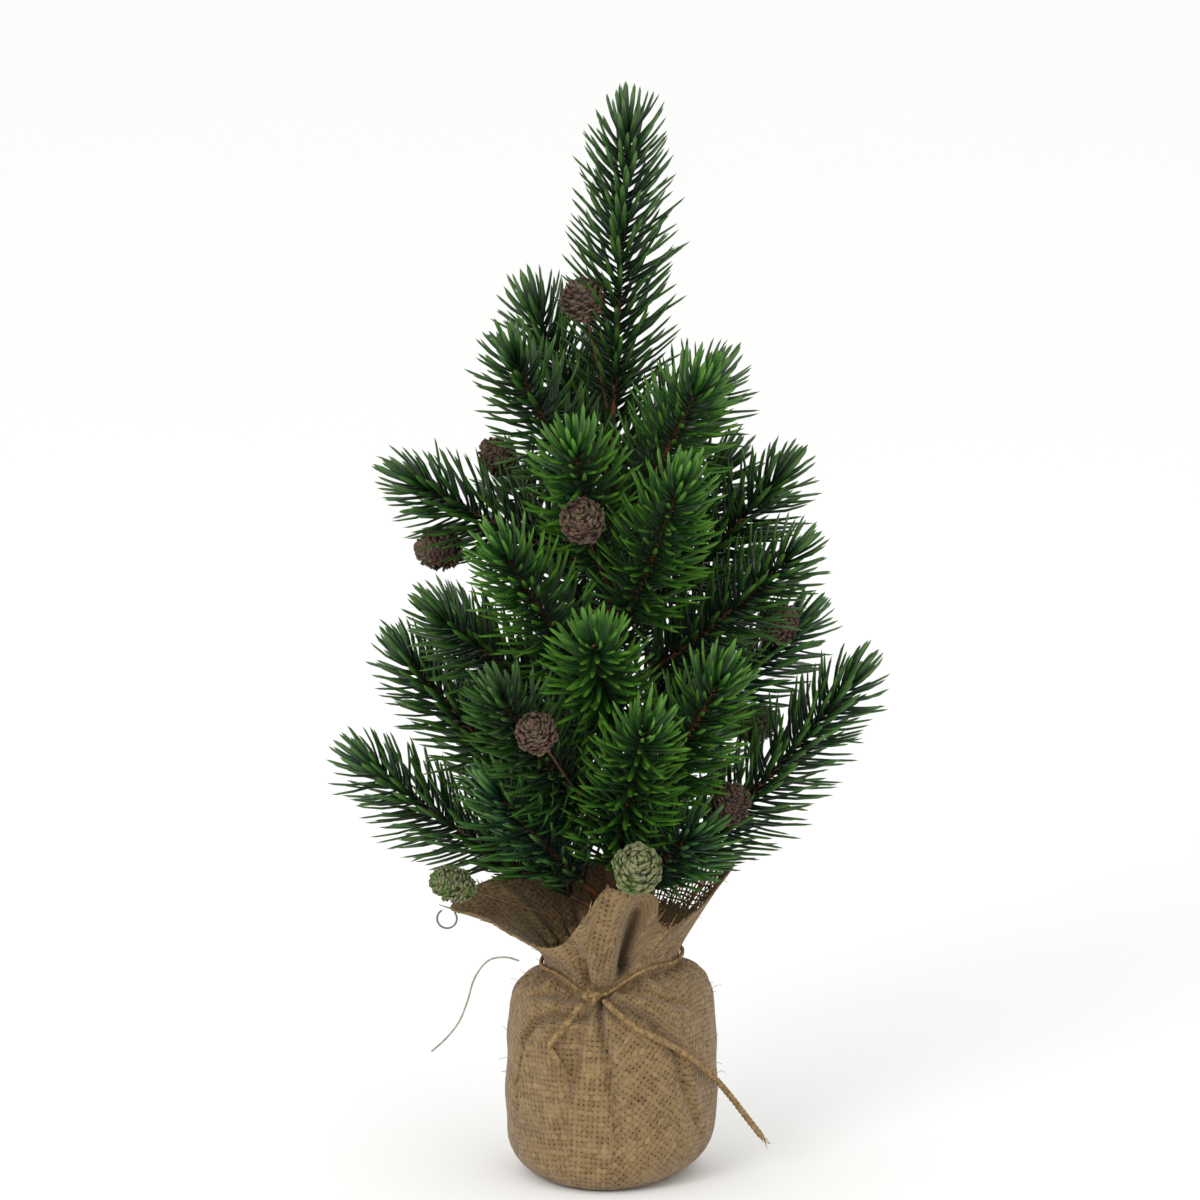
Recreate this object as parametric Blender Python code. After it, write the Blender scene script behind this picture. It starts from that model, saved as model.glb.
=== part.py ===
"""Artificial tabletop tree: wire-cored needle sprigs and small cones on a wrapped trunk,
which stands in a cement weight inside a burlap bag tied with jute twine.

Units are metres and degrees. +Z is up, the front faces -Y, and the origin is the centre of
the resting face. Azimuths are measured from +X towards +Y.
"""

import math
from collections import namedtuple

import bmesh
import bpy
from mathutils import Matrix, Vector

# ---------------------------------------------------------------- driving dimensions

CLEARANCE = 0.0003          # gap between pieces that touch

BAG_RADIUS = 0.043          # outside of the burlap round the weight
BAG_CORNER = 0.014          # rounding between the bag's bottom and its side
BAG_SHOULDER = 0.018        # height of the rounded shoulder below the neck
NECK_RADIUS = 0.0275        # outside of the gathered cloth under the twine
NECK_HEIGHT = 0.0885        # height of the tie, away from its knot
NECK_TILT = 0.002           # the tie is this much higher at the right, lower at the left
NECK_DIP = 0.0085           # the knot hangs this much lower
NECK_DIP_SPREAD = 28.0      # degrees either side of the knot over which the tie sinks
CLOTH_THICKNESS = 0.0016
CLOTH_SEGMENTS = 48

POT_WALL = 0.0012
POT_ROOM = 0.0012           # loose space between the pot's rim and the cloth
CEMENT_DEPTH = 0.048

ROD_RADIUS = 0.002
ROD_EMBEDDED = 0.040        # length of the rod inside the cement
TRUNK_TOP = 0.302
TRUNK_RADIUS_LOW = 0.004    # wrapped trunk, at the cement
TRUNK_RADIUS_HIGH = 0.0028  # wrapped trunk, at its top
TRUNK_CAP = 0.0015          # wrap over the end of the rod

STEM_RADIUS = 0.0015        # brown stem of a sprig
BARE_STEM = 0.018           # length of stem without needles next to the trunk
NEEDLE_BODY_RADIUS = 0.0075  # dense inner part of the needles
NEEDLE_REACH = 0.012        # needles past the end of the stem
SPRIG_POINTS = 10

LEADER_LENGTH = 0.1475      # from the trunk's top to the needle tips
LEADER_LEAN = 3.0           # degrees from upright, towards +X

STALK_RADIUS = 0.0006
STALK_START = 0.011         # along the host stem, from its root
TWINE_RADIUS = 0.0014
FIBRE_RADIUS = 0.0004
KNOT_SIZE = (0.0032, 0.0024, 0.0028)   # half sizes across, out and up
KNOT_AZIMUTH = -104.0

SIDES_RESOLUTION = 2        # bevel resolution of every tube: eight sides

# A sprig leaves the trunk at a height and an azimuth, and its stem is an arc that turns
# from the root lift to the tip lift above the horizontal.
Sprig = namedtuple("Sprig", "root azimuth root_lift tip_lift length")
SPRIGS = (
    Sprig(0.292, 145, 55, 70, 0.078),
    Sprig(0.276, -140, 48, 62, 0.090),
    Sprig(0.284, 30, 34, 52, 0.066),
    Sprig(0.266, -46, 50, 62, 0.088),
    Sprig(0.240, -105, 55, 48, 0.098),
    Sprig(0.250, -176, 20, 32, 0.092),
    Sprig(0.222, -66, 46, 56, 0.105),
    Sprig(0.240, 38, 34, 48, 0.078),
    Sprig(0.226, 8, 36, 52, 0.096),
    Sprig(0.200, -14, 34, 48, 0.100),
    Sprig(0.170, 18, 28, 42, 0.100),
    Sprig(0.196, -130, 46, 52, 0.103),
    Sprig(0.188, -162, 28, 42, 0.090),
    Sprig(0.138, -178, 36, 54, 0.118),
    Sprig(0.108, 176, 26, 40, 0.120),
    Sprig(0.142, -128, 42, 48, 0.105),
    Sprig(0.168, -96, 56, 30, 0.103),
    Sprig(0.118, -80, 60, 36, 0.116),
    Sprig(0.142, -48, 46, 56, 0.103),
    Sprig(0.108, -2, 40, 54, 0.142),
    Sprig(0.112, -46, 42, 40, 0.064),
    Sprig(0.114, -150, 42, 50, 0.078),
    Sprig(0.268, 95, 46, 62, 0.084),
    Sprig(0.232, 70, 38, 52, 0.088),
    Sprig(0.222, 128, 36, 52, 0.092),
    Sprig(0.198, 88, 36, 50, 0.098),
    Sprig(0.176, 48, 34, 48, 0.100),
    Sprig(0.164, 150, 32, 46, 0.100),
    Sprig(0.136, 104, 34, 48, 0.112),
    Sprig(0.120, 58, 34, 50, 0.118),
    Sprig(0.110, 134, 32, 46, 0.112),
)

# A cone hangs on its own wire stalk, twisted on to a host sprig's bare stem. The host is a
# place in SPRIGS counted from one, "leader", or "trunk" for a stalk bound to the trunk.
Cone = namedtuple("Cone", "host centre width length finish")
CONES = (
    Cone("leader", (-0.0117, -0.008, TRUNK_TOP + 0.058), 0.018, 0.0165, "brown"),
    Cone(6, (-0.046, 0.010, 0.2925), 0.014, 0.017, "brown"),
    Cone(5, (-0.0117, -0.055, 0.2797), 0.0175, 0.020, "brown"),
    Cone(6, (-0.069, -0.005, 0.258), 0.017, 0.020, "brown"),
    Cone(16, (-0.030, -0.0655, 0.1958), 0.0165, 0.0165, "brown"),
    Cone(11, (0.0667, 0.006, 0.2247), 0.016, 0.018, "brown"),
    Cone(11, (0.058, 0.016, 0.1816), 0.016, 0.019, "green"),
    Cone(20, (0.0466, -0.020, 0.1563), 0.0175, 0.018, "brown"),
    Cone("trunk", (0.010, -0.055, 0.1379), 0.020, 0.021, "green"),
    Cone("trunk", (-0.064, -0.025, 0.1245), 0.0145, 0.020, "green"),
    Cone(26, (0.014, 0.058, 0.222), 0.017, 0.019, "brown"),
    Cone(31, (-0.040, 0.052, 0.184), 0.017, 0.019, "brown"),
)
TRUNK_STALK_HEIGHTS = {9: 0.098, 10: 0.100}   # where cones on the trunk are bound to it

# Scalloped rim of the collar: azimuth, reach from the axis, height.
COLLAR_RIM = (
    (-180, 0.065, 0.111),
    (-150, 0.048, 0.103),
    (-128, 0.035, 0.100),
    (-100, 0.032, 0.122),
    (-72, 0.030, 0.108),
    (-50, 0.036, 0.110),
    (-25, 0.043, 0.116),
    (-8, 0.049, 0.124),
    (35, 0.042, 0.119),
    (75, 0.045, 0.124),
    (115, 0.038, 0.117),
    (150, 0.040, 0.118),
)
COLLAR_ROWS = 5

# Routes of the two tails. A start is the turn from the knot's azimuth, the distance out from
# the knot's centre and the rise above it. A row is the azimuth, the gap between the strand and
# the cloth, and the height of the nearest point of the cloth.
TAIL_RIGHT_START = (8.6, 0.0036, -0.0003)
TAIL_RIGHT = (
    (-85.8, 0.0006, 0.0736), (-75.8, 0.0017, 0.0687), (-59.4, 0.0014, 0.0617),
    (-43.3, 0.0015, 0.0530), (-26.5, 0.0016, 0.0432), (-17.0, 0.0052, 0.0346),
    (-12.4, 0.0116, 0.0243), (-10.1, 0.0181, 0.0160),
)
TAIL_LEFT_START = (-4.7, 0.0048, -0.0020)
TAIL_LEFT = (
    (-112.2, 0.0027, 0.0707), (-117.6, 0.0029, 0.0654), (-122.8, 0.0018, 0.0612),
    (-118.3, 0.0020, 0.0556), (-113.0, 0.0018, 0.0496),
)
# Route of the loose fibre: azimuth, level gap between the fibre and the cloth, height.
LOOSE_FIBRE = (
    (-158.2, 0.0098, 0.0905), (-164.4, 0.0131, 0.0912), (-169.8, 0.0219, 0.0890),
    (-171.8, 0.0194, 0.0815), (-172.2, 0.0164, 0.0715), (-172.6, 0.0191, 0.0630),
    (-173.2, 0.0246, 0.0560), (-173.7, 0.0300, 0.0510),
)
FACE_PROBE = 0.003          # how far up and down the cloth's slope is felt
LOOP_CENTRE = (-0.0663, -0.025, 0.1104)
LOOP_RADIUS = 0.004
LOOP_WIRE = 0.0004

COLOURS = {                 # linear colour, roughness, metallic
    "needles": ((0.030, 0.120, 0.022), 0.45, 0.0),
    "cone_brown": ((0.110, 0.065, 0.045), 0.75, 0.0),
    "cone_green": ((0.150, 0.180, 0.080), 0.80, 0.0),
    "burlap": ((0.380, 0.250, 0.130), 0.90, 0.0),
    "twine": ((0.420, 0.260, 0.120), 0.85, 0.0),
    "fibre": ((0.320, 0.290, 0.240), 0.80, 0.0),
    "wire": ((0.250, 0.240, 0.220), 0.40, 1.0),
    "steel": ((0.450, 0.450, 0.460), 0.40, 1.0),
    "wrap": ((0.120, 0.070, 0.040), 0.80, 0.0),
    "pot": ((0.030, 0.030, 0.030), 0.50, 0.0),
    "cement": ((0.400, 0.390, 0.370), 0.90, 0.0),
}

# ---------------------------------------------------------------- sizes that follow

POT_FLOOR = CLOTH_THICKNESS + 2 * CLEARANCE
POT_RIM_RADIUS = BAG_RADIUS - CLOTH_THICKNESS - CLEARANCE - POT_ROOM
POT_FOOT_RADIUS = BAG_RADIUS - BAG_CORNER - CLEARANCE
CEMENT_FLOOR = POT_FLOOR + POT_WALL + CLEARANCE
CEMENT_TOP = CEMENT_FLOOR + CEMENT_DEPTH
POT_TOP = NECK_HEIGHT - NECK_TILT - NECK_DIP - BAG_SHOULDER - CLEARANCE
ROD_TOP = TRUNK_TOP - TRUNK_CAP - CLEARANCE
SPRIG_ROOT_GAP = STEM_RADIUS + CLEARANCE
BAND_RADIUS = NECK_RADIUS + TWINE_RADIUS + 3 * CLEARANCE
KNOT_RADIUS = BAND_RADIUS + TWINE_RADIUS + KNOT_SIZE[1] + CLEARANCE


def clear_scene():
    """Remove every object that the file opened with."""
    for obj in list(bpy.context.scene.objects):
        bpy.data.objects.remove(obj, do_unlink=True)


def make_material(name):
    """Return a plain material in the named finish."""
    colour, roughness, metallic = COLOURS[name]
    material = bpy.data.materials.new(name)
    material.use_nodes = True
    shader = material.node_tree.nodes["Principled BSDF"]
    shader.inputs["Base Color"].default_value = (*colour, 1.0)
    shader.inputs["Roughness"].default_value = roughness
    shader.inputs["Metallic"].default_value = metallic
    return material


def place(name, data, finish, location=(0, 0, 0), parent=None):
    """Put mesh or curve data into the scene as one named piece."""
    data.materials.append(make_material(finish))
    obj = bpy.data.objects.new(name, data)
    obj.location = location
    obj.parent = parent
    bpy.context.scene.collection.objects.link(obj)
    return obj


def tube_data(name, points, radii, cyclic=False):
    """Return a tube through the points, with a radius at each."""
    widest = max(radii)
    curve = bpy.data.curves.new(name, "CURVE")
    curve.dimensions = "3D"
    curve.bevel_depth = widest
    curve.bevel_resolution = SIDES_RESOLUTION
    curve.use_fill_caps = not cyclic
    spline = curve.splines.new("POLY")
    spline.points.add(len(points) - 1)
    spline.use_cyclic_u = cyclic
    for point, position, radius in zip(spline.points, points, radii):
        point.co = (*position, 1.0)
        point.radius = radius / widest
    return curve


def turned_mesh(name, profile, segments=32):
    """Return the solid that a closed profile of (radius, height) points makes round Z."""
    mesh_maker = bmesh.new()
    verts = [mesh_maker.verts.new((radius, 0, height)) for radius, height in profile]
    edges = [mesh_maker.edges.new((verts[i], verts[i + 1])) for i in range(len(verts) - 1)]
    if profile[0][0] > 0:
        edges.append(mesh_maker.edges.new((verts[-1], verts[0])))
    bmesh.ops.spin(mesh_maker, geom=verts + edges, axis=(0, 0, 1), cent=(0, 0, 0),
                   angle=math.tau, steps=segments, use_merge=True)
    bmesh.ops.remove_doubles(mesh_maker, verts=mesh_maker.verts, dist=1e-6)
    bmesh.ops.recalc_face_normals(mesh_maker, faces=mesh_maker.faces)
    return finished_mesh(name, mesh_maker)


def finished_mesh(name, mesh_maker):
    """Turn a bmesh into a smooth-shaded mesh with its sharp edges kept."""
    mesh = bpy.data.meshes.new(name)
    mesh_maker.to_mesh(mesh)
    mesh_maker.free()
    mesh.shade_smooth()
    mesh.set_sharp_from_angle(angle=math.radians(40))
    return mesh


def smooth_route(points, spacing):
    """Return points about one spacing apart on a smooth curve through the given ones."""
    knots = [Vector(point) for point in points]
    ends = [2 * knots[0] - knots[1]] + knots + [2 * knots[-1] - knots[-2]]
    route = [knots[0]]
    for i in range(1, len(ends) - 2):
        before, start, end, after = ends[i - 1:i + 3]
        steps = max(1, round((end - start).length / spacing))
        for step in range(1, steps + 1):
            t = step / steps
            route.append(0.5 * (2 * start + (end - before) * t
                                + (2 * before - 5 * start + 4 * end - after) * t * t
                                + (3 * start - before - 3 * end + after) * t ** 3))
    return route


def trunk_radius(height):
    """Return the wrapped trunk's radius at a height."""
    share = (height - CEMENT_TOP) / (TRUNK_TOP - CEMENT_TOP)
    return TRUNK_RADIUS_LOW + (TRUNK_RADIUS_HIGH - TRUNK_RADIUS_LOW) * share


def outward(azimuth):
    """Return the level unit vector at an azimuth in degrees."""
    angle = math.radians(azimuth)
    return Vector((math.cos(angle), math.sin(angle), 0))


def needle_body_radius(along, total):
    """Return a sprig's solid radius at a distance along it: bare stem, then a spindle."""
    if along <= BARE_STEM:
        return STEM_RADIUS
    share = (along - BARE_STEM) / (total - BARE_STEM)
    swell = max(0.0, math.sin(math.pi * share ** 0.8)) ** 0.7
    return STEM_RADIUS + (NEEDLE_BODY_RADIUS - STEM_RADIUS) * swell


def spindle_stations(total):
    """Return distances along a sprig: its root, the end of the bare stem, then evenly on."""
    steps = SPRIG_POINTS - 2
    return [0.0] + [BARE_STEM + (total - BARE_STEM) * i / steps for i in range(steps + 1)]


def sprig_root(sprig):
    """Return the point on the trunk where a sprig bends."""
    reach = trunk_radius(sprig.root) + SPRIG_ROOT_GAP
    return outward(sprig.azimuth) * reach + Vector((0, 0, sprig.root))


def sprig_offset(sprig, along):
    """Return the place of a point on a sprig's stem, counted from its root."""
    start = math.radians(sprig.root_lift)
    turn = math.radians(sprig.tip_lift - sprig.root_lift) / sprig.length
    curved = min(along, sprig.length)
    end = start + turn * curved
    if abs(turn) < 1e-9:
        reach, rise = curved * math.cos(start), curved * math.sin(start)
    else:
        reach = (math.sin(end) - math.sin(start)) / turn
        rise = (math.cos(start) - math.cos(end)) / turn
    straight = along - curved
    reach += straight * math.cos(end)
    rise += straight * math.sin(end)
    return outward(sprig.azimuth) * reach + Vector((0, 0, rise))


def build_sprigs():
    """Build the side sprigs, each with its origin on its bend at the trunk."""
    sprigs = []
    for number, sprig in enumerate(SPRIGS, start=1):
        name = f"sprig_{number:02d}"
        total = sprig.length + NEEDLE_REACH
        stations = spindle_stations(total)
        points = [sprig_offset(sprig, along) for along in stations]
        radii = [needle_body_radius(along, total) for along in stations]
        data = tube_data(name, points, radii)
        sprigs.append(place(name, data, "needles", location=sprig_root(sprig)))
    return sprigs


def build_leader():
    """Build the upright top sprig, with its origin on its bend above the trunk."""
    lean = math.radians(LEADER_LEAN)
    direction = Vector((math.sin(lean), 0, math.cos(lean)))
    stations = spindle_stations(LEADER_LENGTH)
    points = [direction * along for along in stations]
    radii = [needle_body_radius(along, LEADER_LENGTH) for along in stations]
    data = tube_data("leader_sprig", points, radii)
    foot = Vector((0, 0, TRUNK_TOP + SPRIG_ROOT_GAP))
    return place("leader_sprig", data, "needles", location=foot)


def cone_profile(start, centre, width, length):
    """Return the points and radii of a wire stalk that ends in a rounded cone."""
    axis = (centre - start).normalized()
    neck = centre - axis * (length / 2)
    points = [start, start.lerp(neck, 0.5)]
    radii = [STALK_RADIUS, STALK_RADIUS]
    for turn in (0.10, 0.22, 0.36, 0.52, 0.68, 0.84, 0.96):
        angle = math.pi * turn
        points.append(centre - axis * (math.cos(angle) * length / 2))
        radii.append(max(STALK_RADIUS, math.sin(angle) * width / 2))
    return points, radii


def build_cones(leader, sprigs):
    """Build each cone with its stalk, held by its host sprig or by the trunk."""
    for number, cone in enumerate(CONES, start=1):
        centre = Vector(cone.centre)
        beside = STEM_RADIUS + STALK_RADIUS + CLEARANCE
        if cone.host == "trunk":
            host = None
            height = TRUNK_STALK_HEIGHTS[number]
            origin = Vector((0, 0, 0))
            level = Vector((centre.x, centre.y, 0)).normalized()
            reach = trunk_radius(height) + STALK_RADIUS + CLEARANCE
            start = level * reach + Vector((0, 0, height))
        elif cone.host == "leader":
            host = leader
            origin = leader.location
            level = Vector((centre.x, centre.y, 0)).normalized()
            start = origin + Vector((0, 0, STALK_START)) + level * beside
        else:
            sprig = SPRIGS[cone.host - 1]
            host = sprigs[cone.host - 1]
            origin = sprig_root(sprig)
            stem_point = origin + sprig_offset(sprig, STALK_START)
            along = sprig_offset(sprig, STALK_START).normalized()
            towards = centre - stem_point
            sideways = (towards - along * towards.dot(along)).normalized()
            start = stem_point + sideways * beside
        points, radii = cone_profile(start - origin, centre - origin, cone.width, cone.length)
        name = f"cone_{number:02d}"
        place(name, tube_data(name, points, radii), f"cone_{cone.finish}", parent=host)


def build_trunk():
    """Build the steel rod and the paper wrap that closes over its top."""
    rod_foot = CEMENT_TOP - ROD_EMBEDDED
    rod = [(0, rod_foot), (ROD_RADIUS, rod_foot), (ROD_RADIUS, ROD_TOP), (0, ROD_TOP)]
    place("trunk_rod", turned_mesh("trunk_rod", rod, segments=16), "steel")
    inner = ROD_RADIUS + CLEARANCE
    wrap_foot = CEMENT_TOP + CLEARANCE
    wrap_inner_top = ROD_TOP + CLEARANCE
    wrap = [(0, wrap_inner_top), (inner, wrap_inner_top), (inner, wrap_foot),
            (TRUNK_RADIUS_LOW, wrap_foot), (TRUNK_RADIUS_HIGH, TRUNK_TOP), (0, TRUNK_TOP)]
    place("trunk_wrap", turned_mesh("trunk_wrap", wrap, segments=20), "wrap")


def build_weight():
    """Build the plastic pot and the cement that is cast in it round the rod."""
    wall_inner_foot = POT_FOOT_RADIUS - POT_WALL
    wall_inner_rim = POT_RIM_RADIUS - POT_WALL
    pot = [(0, POT_FLOOR), (POT_FOOT_RADIUS, POT_FLOOR), (POT_RIM_RADIUS, POT_TOP),
           (wall_inner_rim, POT_TOP), (wall_inner_foot, POT_FLOOR + POT_WALL),
           (0, POT_FLOOR + POT_WALL)]
    place("base_pot", turned_mesh("base_pot", pot, segments=32), "pot")
    slope = (wall_inner_rim - wall_inner_foot) / (POT_TOP - POT_FLOOR - POT_WALL)
    foot = wall_inner_foot - 2 * CLEARANCE
    top = foot + slope * CEMENT_DEPTH
    bore = ROD_RADIUS + CLEARANCE
    bore_foot = CEMENT_TOP - ROD_EMBEDDED - CLEARANCE
    cement = [(0, CEMENT_FLOOR), (foot, CEMENT_FLOOR), (top, CEMENT_TOP),
              (bore, CEMENT_TOP), (bore, bore_foot), (0, bore_foot)]
    place("cement_weight", turned_mesh("cement_weight", cement, segments=32), "cement")


def collar_rim(azimuth):
    """Return the collar's reach and height at an azimuth, smooth between the scallops."""
    turned = (azimuth + 180) % 360 - 180
    count = len(COLLAR_RIM)
    after = next((i for i in range(count) if COLLAR_RIM[i][0] > turned), count)
    low, high = COLLAR_RIM[after - 1], COLLAR_RIM[after % count]
    span = (high[0] - low[0]) % 360
    share = ((turned - low[0]) % 360) / span
    ease = share * share * (3 - 2 * share)
    return low[1] + (high[1] - low[1]) * ease, low[2] + (high[2] - low[2]) * ease


def neck_height(azimuth):
    """Return the height of the tie at an azimuth."""
    away = (azimuth - KNOT_AZIMUTH + 180) % 360 - 180
    dip = NECK_DIP * math.exp(-(away / NECK_DIP_SPREAD) ** 2)
    return NECK_HEIGHT + NECK_TILT * math.cos(math.radians(azimuth)) - dip


def cloth_section(azimuth):
    """Return the (radius, height) points of the cloth's outer face at an azimuth."""
    tie = neck_height(azimuth)
    section = [((BAG_RADIUS - BAG_CORNER) / 2, 0.0), (BAG_RADIUS - BAG_CORNER, 0.0)]
    for turn in (30, 60, 90):
        angle = math.radians(turn)
        section.append((BAG_RADIUS - BAG_CORNER * (1 - math.sin(angle)),
                        BAG_CORNER * (1 - math.cos(angle))))
    shoulder_foot = tie - BAG_SHOULDER
    section.append((BAG_RADIUS, (BAG_CORNER + shoulder_foot) / 2))
    half_band = TWINE_RADIUS + CLEARANCE
    for turn in (0, 30, 60, 90):
        angle = math.radians(turn)
        section.append((NECK_RADIUS + (BAG_RADIUS - NECK_RADIUS) * math.cos(angle),
                        shoulder_foot + (BAG_SHOULDER - half_band) * math.sin(angle)))
    section.append((NECK_RADIUS, tie + half_band))
    reach, height = collar_rim(azimuth)
    for row in range(1, COLLAR_ROWS + 1):
        share = row / COLLAR_ROWS
        section.append((NECK_RADIUS + (reach - NECK_RADIUS) * share ** 1.15,
                        tie + half_band + (height - tie - half_band) * share))
    return section


def cloth_reach(azimuth, height):
    """Return the radius of the cloth's outer face at an azimuth and a height."""
    wall = cloth_section(azimuth)[2:]
    for (start, low), (end, high) in zip(wall, wall[1:]):
        if low <= height <= high:
            return start + (end - start) * (height - low) / (high - low)
    return wall[-1][0]


def shoulder_height(azimuth, reach):
    """Return the height of the cloth's shoulder at an azimuth and a radius."""
    shoulder = cloth_section(azimuth)[6:10]
    for (start, low), (end, high) in zip(shoulder, shoulder[1:]):
        if end <= reach <= start:
            return low + (high - low) * (start - reach) / (start - end)
    return shoulder[0][1]


def knot_centre():
    """Return the knot's place: at the band's height, or on the shoulder where that is higher."""
    on_shoulder = shoulder_height(KNOT_AZIMUTH, KNOT_RADIUS) + KNOT_SIZE[2] + CLEARANCE
    centre = outward(KNOT_AZIMUTH) * KNOT_RADIUS
    centre.z = max(neck_height(KNOT_AZIMUTH), on_shoulder)
    return centre


def off_cloth(azimuth, gap, height):
    """Return the point at a distance from the cloth's outer face, square to the face."""
    fall = (cloth_reach(azimuth, height - FACE_PROBE)
            - cloth_reach(azimuth, height + FACE_PROBE))
    tilt = math.atan2(fall, 2 * FACE_PROBE)
    return (outward(azimuth) * (cloth_reach(azimuth, height) + gap * math.cos(tilt))
            + Vector((0, 0, height + gap * math.sin(tilt))))


def tail_route(start, rows, radius):
    """Return the centre line of a tail that leaves the knot and follows the cloth's face."""
    turn, out, rise = start
    azimuth = KNOT_AZIMUTH + turn
    begin = outward(azimuth) * (KNOT_RADIUS + out)
    begin.z = knot_centre().z + rise
    steps = 300
    gap, foot = min(((off_cloth(azimuth, 0, begin.z * step / steps) - begin).length,
                     begin.z * step / steps) for step in range(steps // 2, steps + 1))
    unrolled = [(math.radians(azimuth) * BAG_RADIUS, gap, foot)]
    unrolled += [(math.radians(row[0]) * BAG_RADIUS, row[1] + radius, row[2]) for row in rows]
    return [off_cloth(math.degrees(way / BAG_RADIUS), gap, height)
            for way, gap, height in smooth_route(unrolled, 2 * radius)]


def fibre_route():
    """Return the centre line of the loose fibre, which hangs clear of the cloth."""
    return smooth_route([outward(azimuth) * (cloth_reach(azimuth, height) + gap + FIBRE_RADIUS)
                         + Vector((0, 0, height)) for azimuth, gap, height in LOOSE_FIBRE],
                        5 * FIBRE_RADIUS)


def build_wrap_cloth():
    """Build the burlap: one sheet from the resting face up through the neck to the rim."""
    mesh_maker = bmesh.new()
    centre = mesh_maker.verts.new((0, 0, 0))
    columns = []
    for step in range(CLOTH_SEGMENTS):
        azimuth = 360 * step / CLOTH_SEGMENTS - 180
        level = outward(azimuth)
        columns.append([mesh_maker.verts.new(level * radius + Vector((0, 0, height)))
                        for radius, height in cloth_section(azimuth)])
    for step, column in enumerate(columns):
        following = columns[(step + 1) % CLOTH_SEGMENTS]
        mesh_maker.faces.new((centre, following[0], column[0]))
        for row in range(len(column) - 1):
            mesh_maker.faces.new((column[row], following[row],
                                  following[row + 1], column[row + 1]))
    cloth = place("burlap_wrap", finished_mesh("burlap_wrap", mesh_maker), "burlap")
    wall = cloth.modifiers.new("cloth thickness", "SOLIDIFY")
    wall.thickness = CLOTH_THICKNESS
    wall.offset = -1


def build_twine():
    """Build the tie round the neck, its knot, its two tails and the loose fibre."""
    ring = []
    steps = 40
    for step in range(steps):
        azimuth = 360 * step / steps
        ring.append(outward(azimuth) * BAND_RADIUS + Vector((0, 0, neck_height(azimuth))))
    place("twine_band", tube_data("twine_band", ring, [TWINE_RADIUS] * steps, cyclic=True),
          "twine")

    mesh_maker = bmesh.new()
    bmesh.ops.create_uvsphere(mesh_maker, u_segments=12, v_segments=8, radius=1.0)
    facing = Matrix.Rotation(math.radians(KNOT_AZIMUTH + 90), 4, "Z")
    stretch = Matrix.Diagonal((*KNOT_SIZE, 1.0))
    bmesh.ops.transform(mesh_maker, matrix=facing @ stretch, verts=mesh_maker.verts)
    place("twine_knot", finished_mesh("twine_knot", mesh_maker), "twine",
          location=knot_centre())

    strands = (("twine_tail_right", tail_route(TAIL_RIGHT_START, TAIL_RIGHT, TWINE_RADIUS),
                TWINE_RADIUS, "twine"),
               ("twine_tail_left", tail_route(TAIL_LEFT_START, TAIL_LEFT, TWINE_RADIUS),
                TWINE_RADIUS, "twine"),
               ("loose_fibre", fibre_route(), FIBRE_RADIUS, "fibre"))
    for name, points, radius, finish in strands:
        place(name, tube_data(name, points, [radius] * len(points)), finish)


def build_wire_loop():
    """Build the open loop at the bare end of a cone's stalk."""
    points = []
    for turn in range(120, 401, 20):
        angle = math.radians(turn)
        points.append(Vector(LOOP_CENTRE) + LOOP_RADIUS * Vector((math.cos(angle), 0,
                                                                  math.sin(angle))))
    place("cone_wire_loop", tube_data("cone_wire_loop", points, [LOOP_WIRE] * len(points)),
          "wire")


def main():
    """Build the tree."""
    clear_scene()
    build_weight()
    build_trunk()
    build_wrap_cloth()
    build_twine()
    leader = build_leader()
    sprigs = build_sprigs()
    build_cones(leader, sprigs)
    build_wire_loop()


main()
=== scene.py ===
"""Looks of an artificial tabletop tree: moulded fir sprigs, small cones and a burlap bag
that is tied with jute twine.

Lengths are metres unless a name says otherwise. The front faces -Y, and azimuths are
measured in degrees from +X towards +Y.
"""

import logging
import math
import random
from dataclasses import dataclass
from enum import Enum

import bmesh
import bpy
from mathutils import Matrix, Vector, noise


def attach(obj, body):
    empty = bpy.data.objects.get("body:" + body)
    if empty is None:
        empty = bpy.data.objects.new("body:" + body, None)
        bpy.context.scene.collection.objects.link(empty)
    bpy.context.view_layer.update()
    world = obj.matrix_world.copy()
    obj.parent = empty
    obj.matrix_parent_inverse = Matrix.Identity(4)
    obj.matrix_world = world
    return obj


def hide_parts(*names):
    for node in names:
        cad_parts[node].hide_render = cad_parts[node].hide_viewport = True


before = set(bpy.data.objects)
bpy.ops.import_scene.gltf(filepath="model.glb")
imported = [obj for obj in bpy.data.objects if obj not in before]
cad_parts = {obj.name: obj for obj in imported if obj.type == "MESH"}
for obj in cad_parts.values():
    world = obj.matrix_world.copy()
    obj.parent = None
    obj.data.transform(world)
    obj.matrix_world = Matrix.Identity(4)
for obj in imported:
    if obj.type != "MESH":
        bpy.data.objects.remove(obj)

LOG = logging.getLogger("tabletop_tree")
MM = 0.001
GOLDEN_ANGLE = math.pi * (3 - math.sqrt(5))


# ------------------------------------------------------------------ colour and nodes


def linear(code: str) -> tuple[float, float, float, float]:
    """Turn an sRGB hex colour into linear light.

    Args:
        code: Six hex digits after a hash sign.

    Returns:
        Linear red, green, blue and an alpha of one.
    """
    channels = [int(code[i:i + 2], 16) / 255 for i in (1, 3, 5)]
    light = [c / 12.92 if c <= 0.04045 else ((c + 0.055) / 1.055) ** 2.4 for c in channels]
    return (*light, 1.0)


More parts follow.
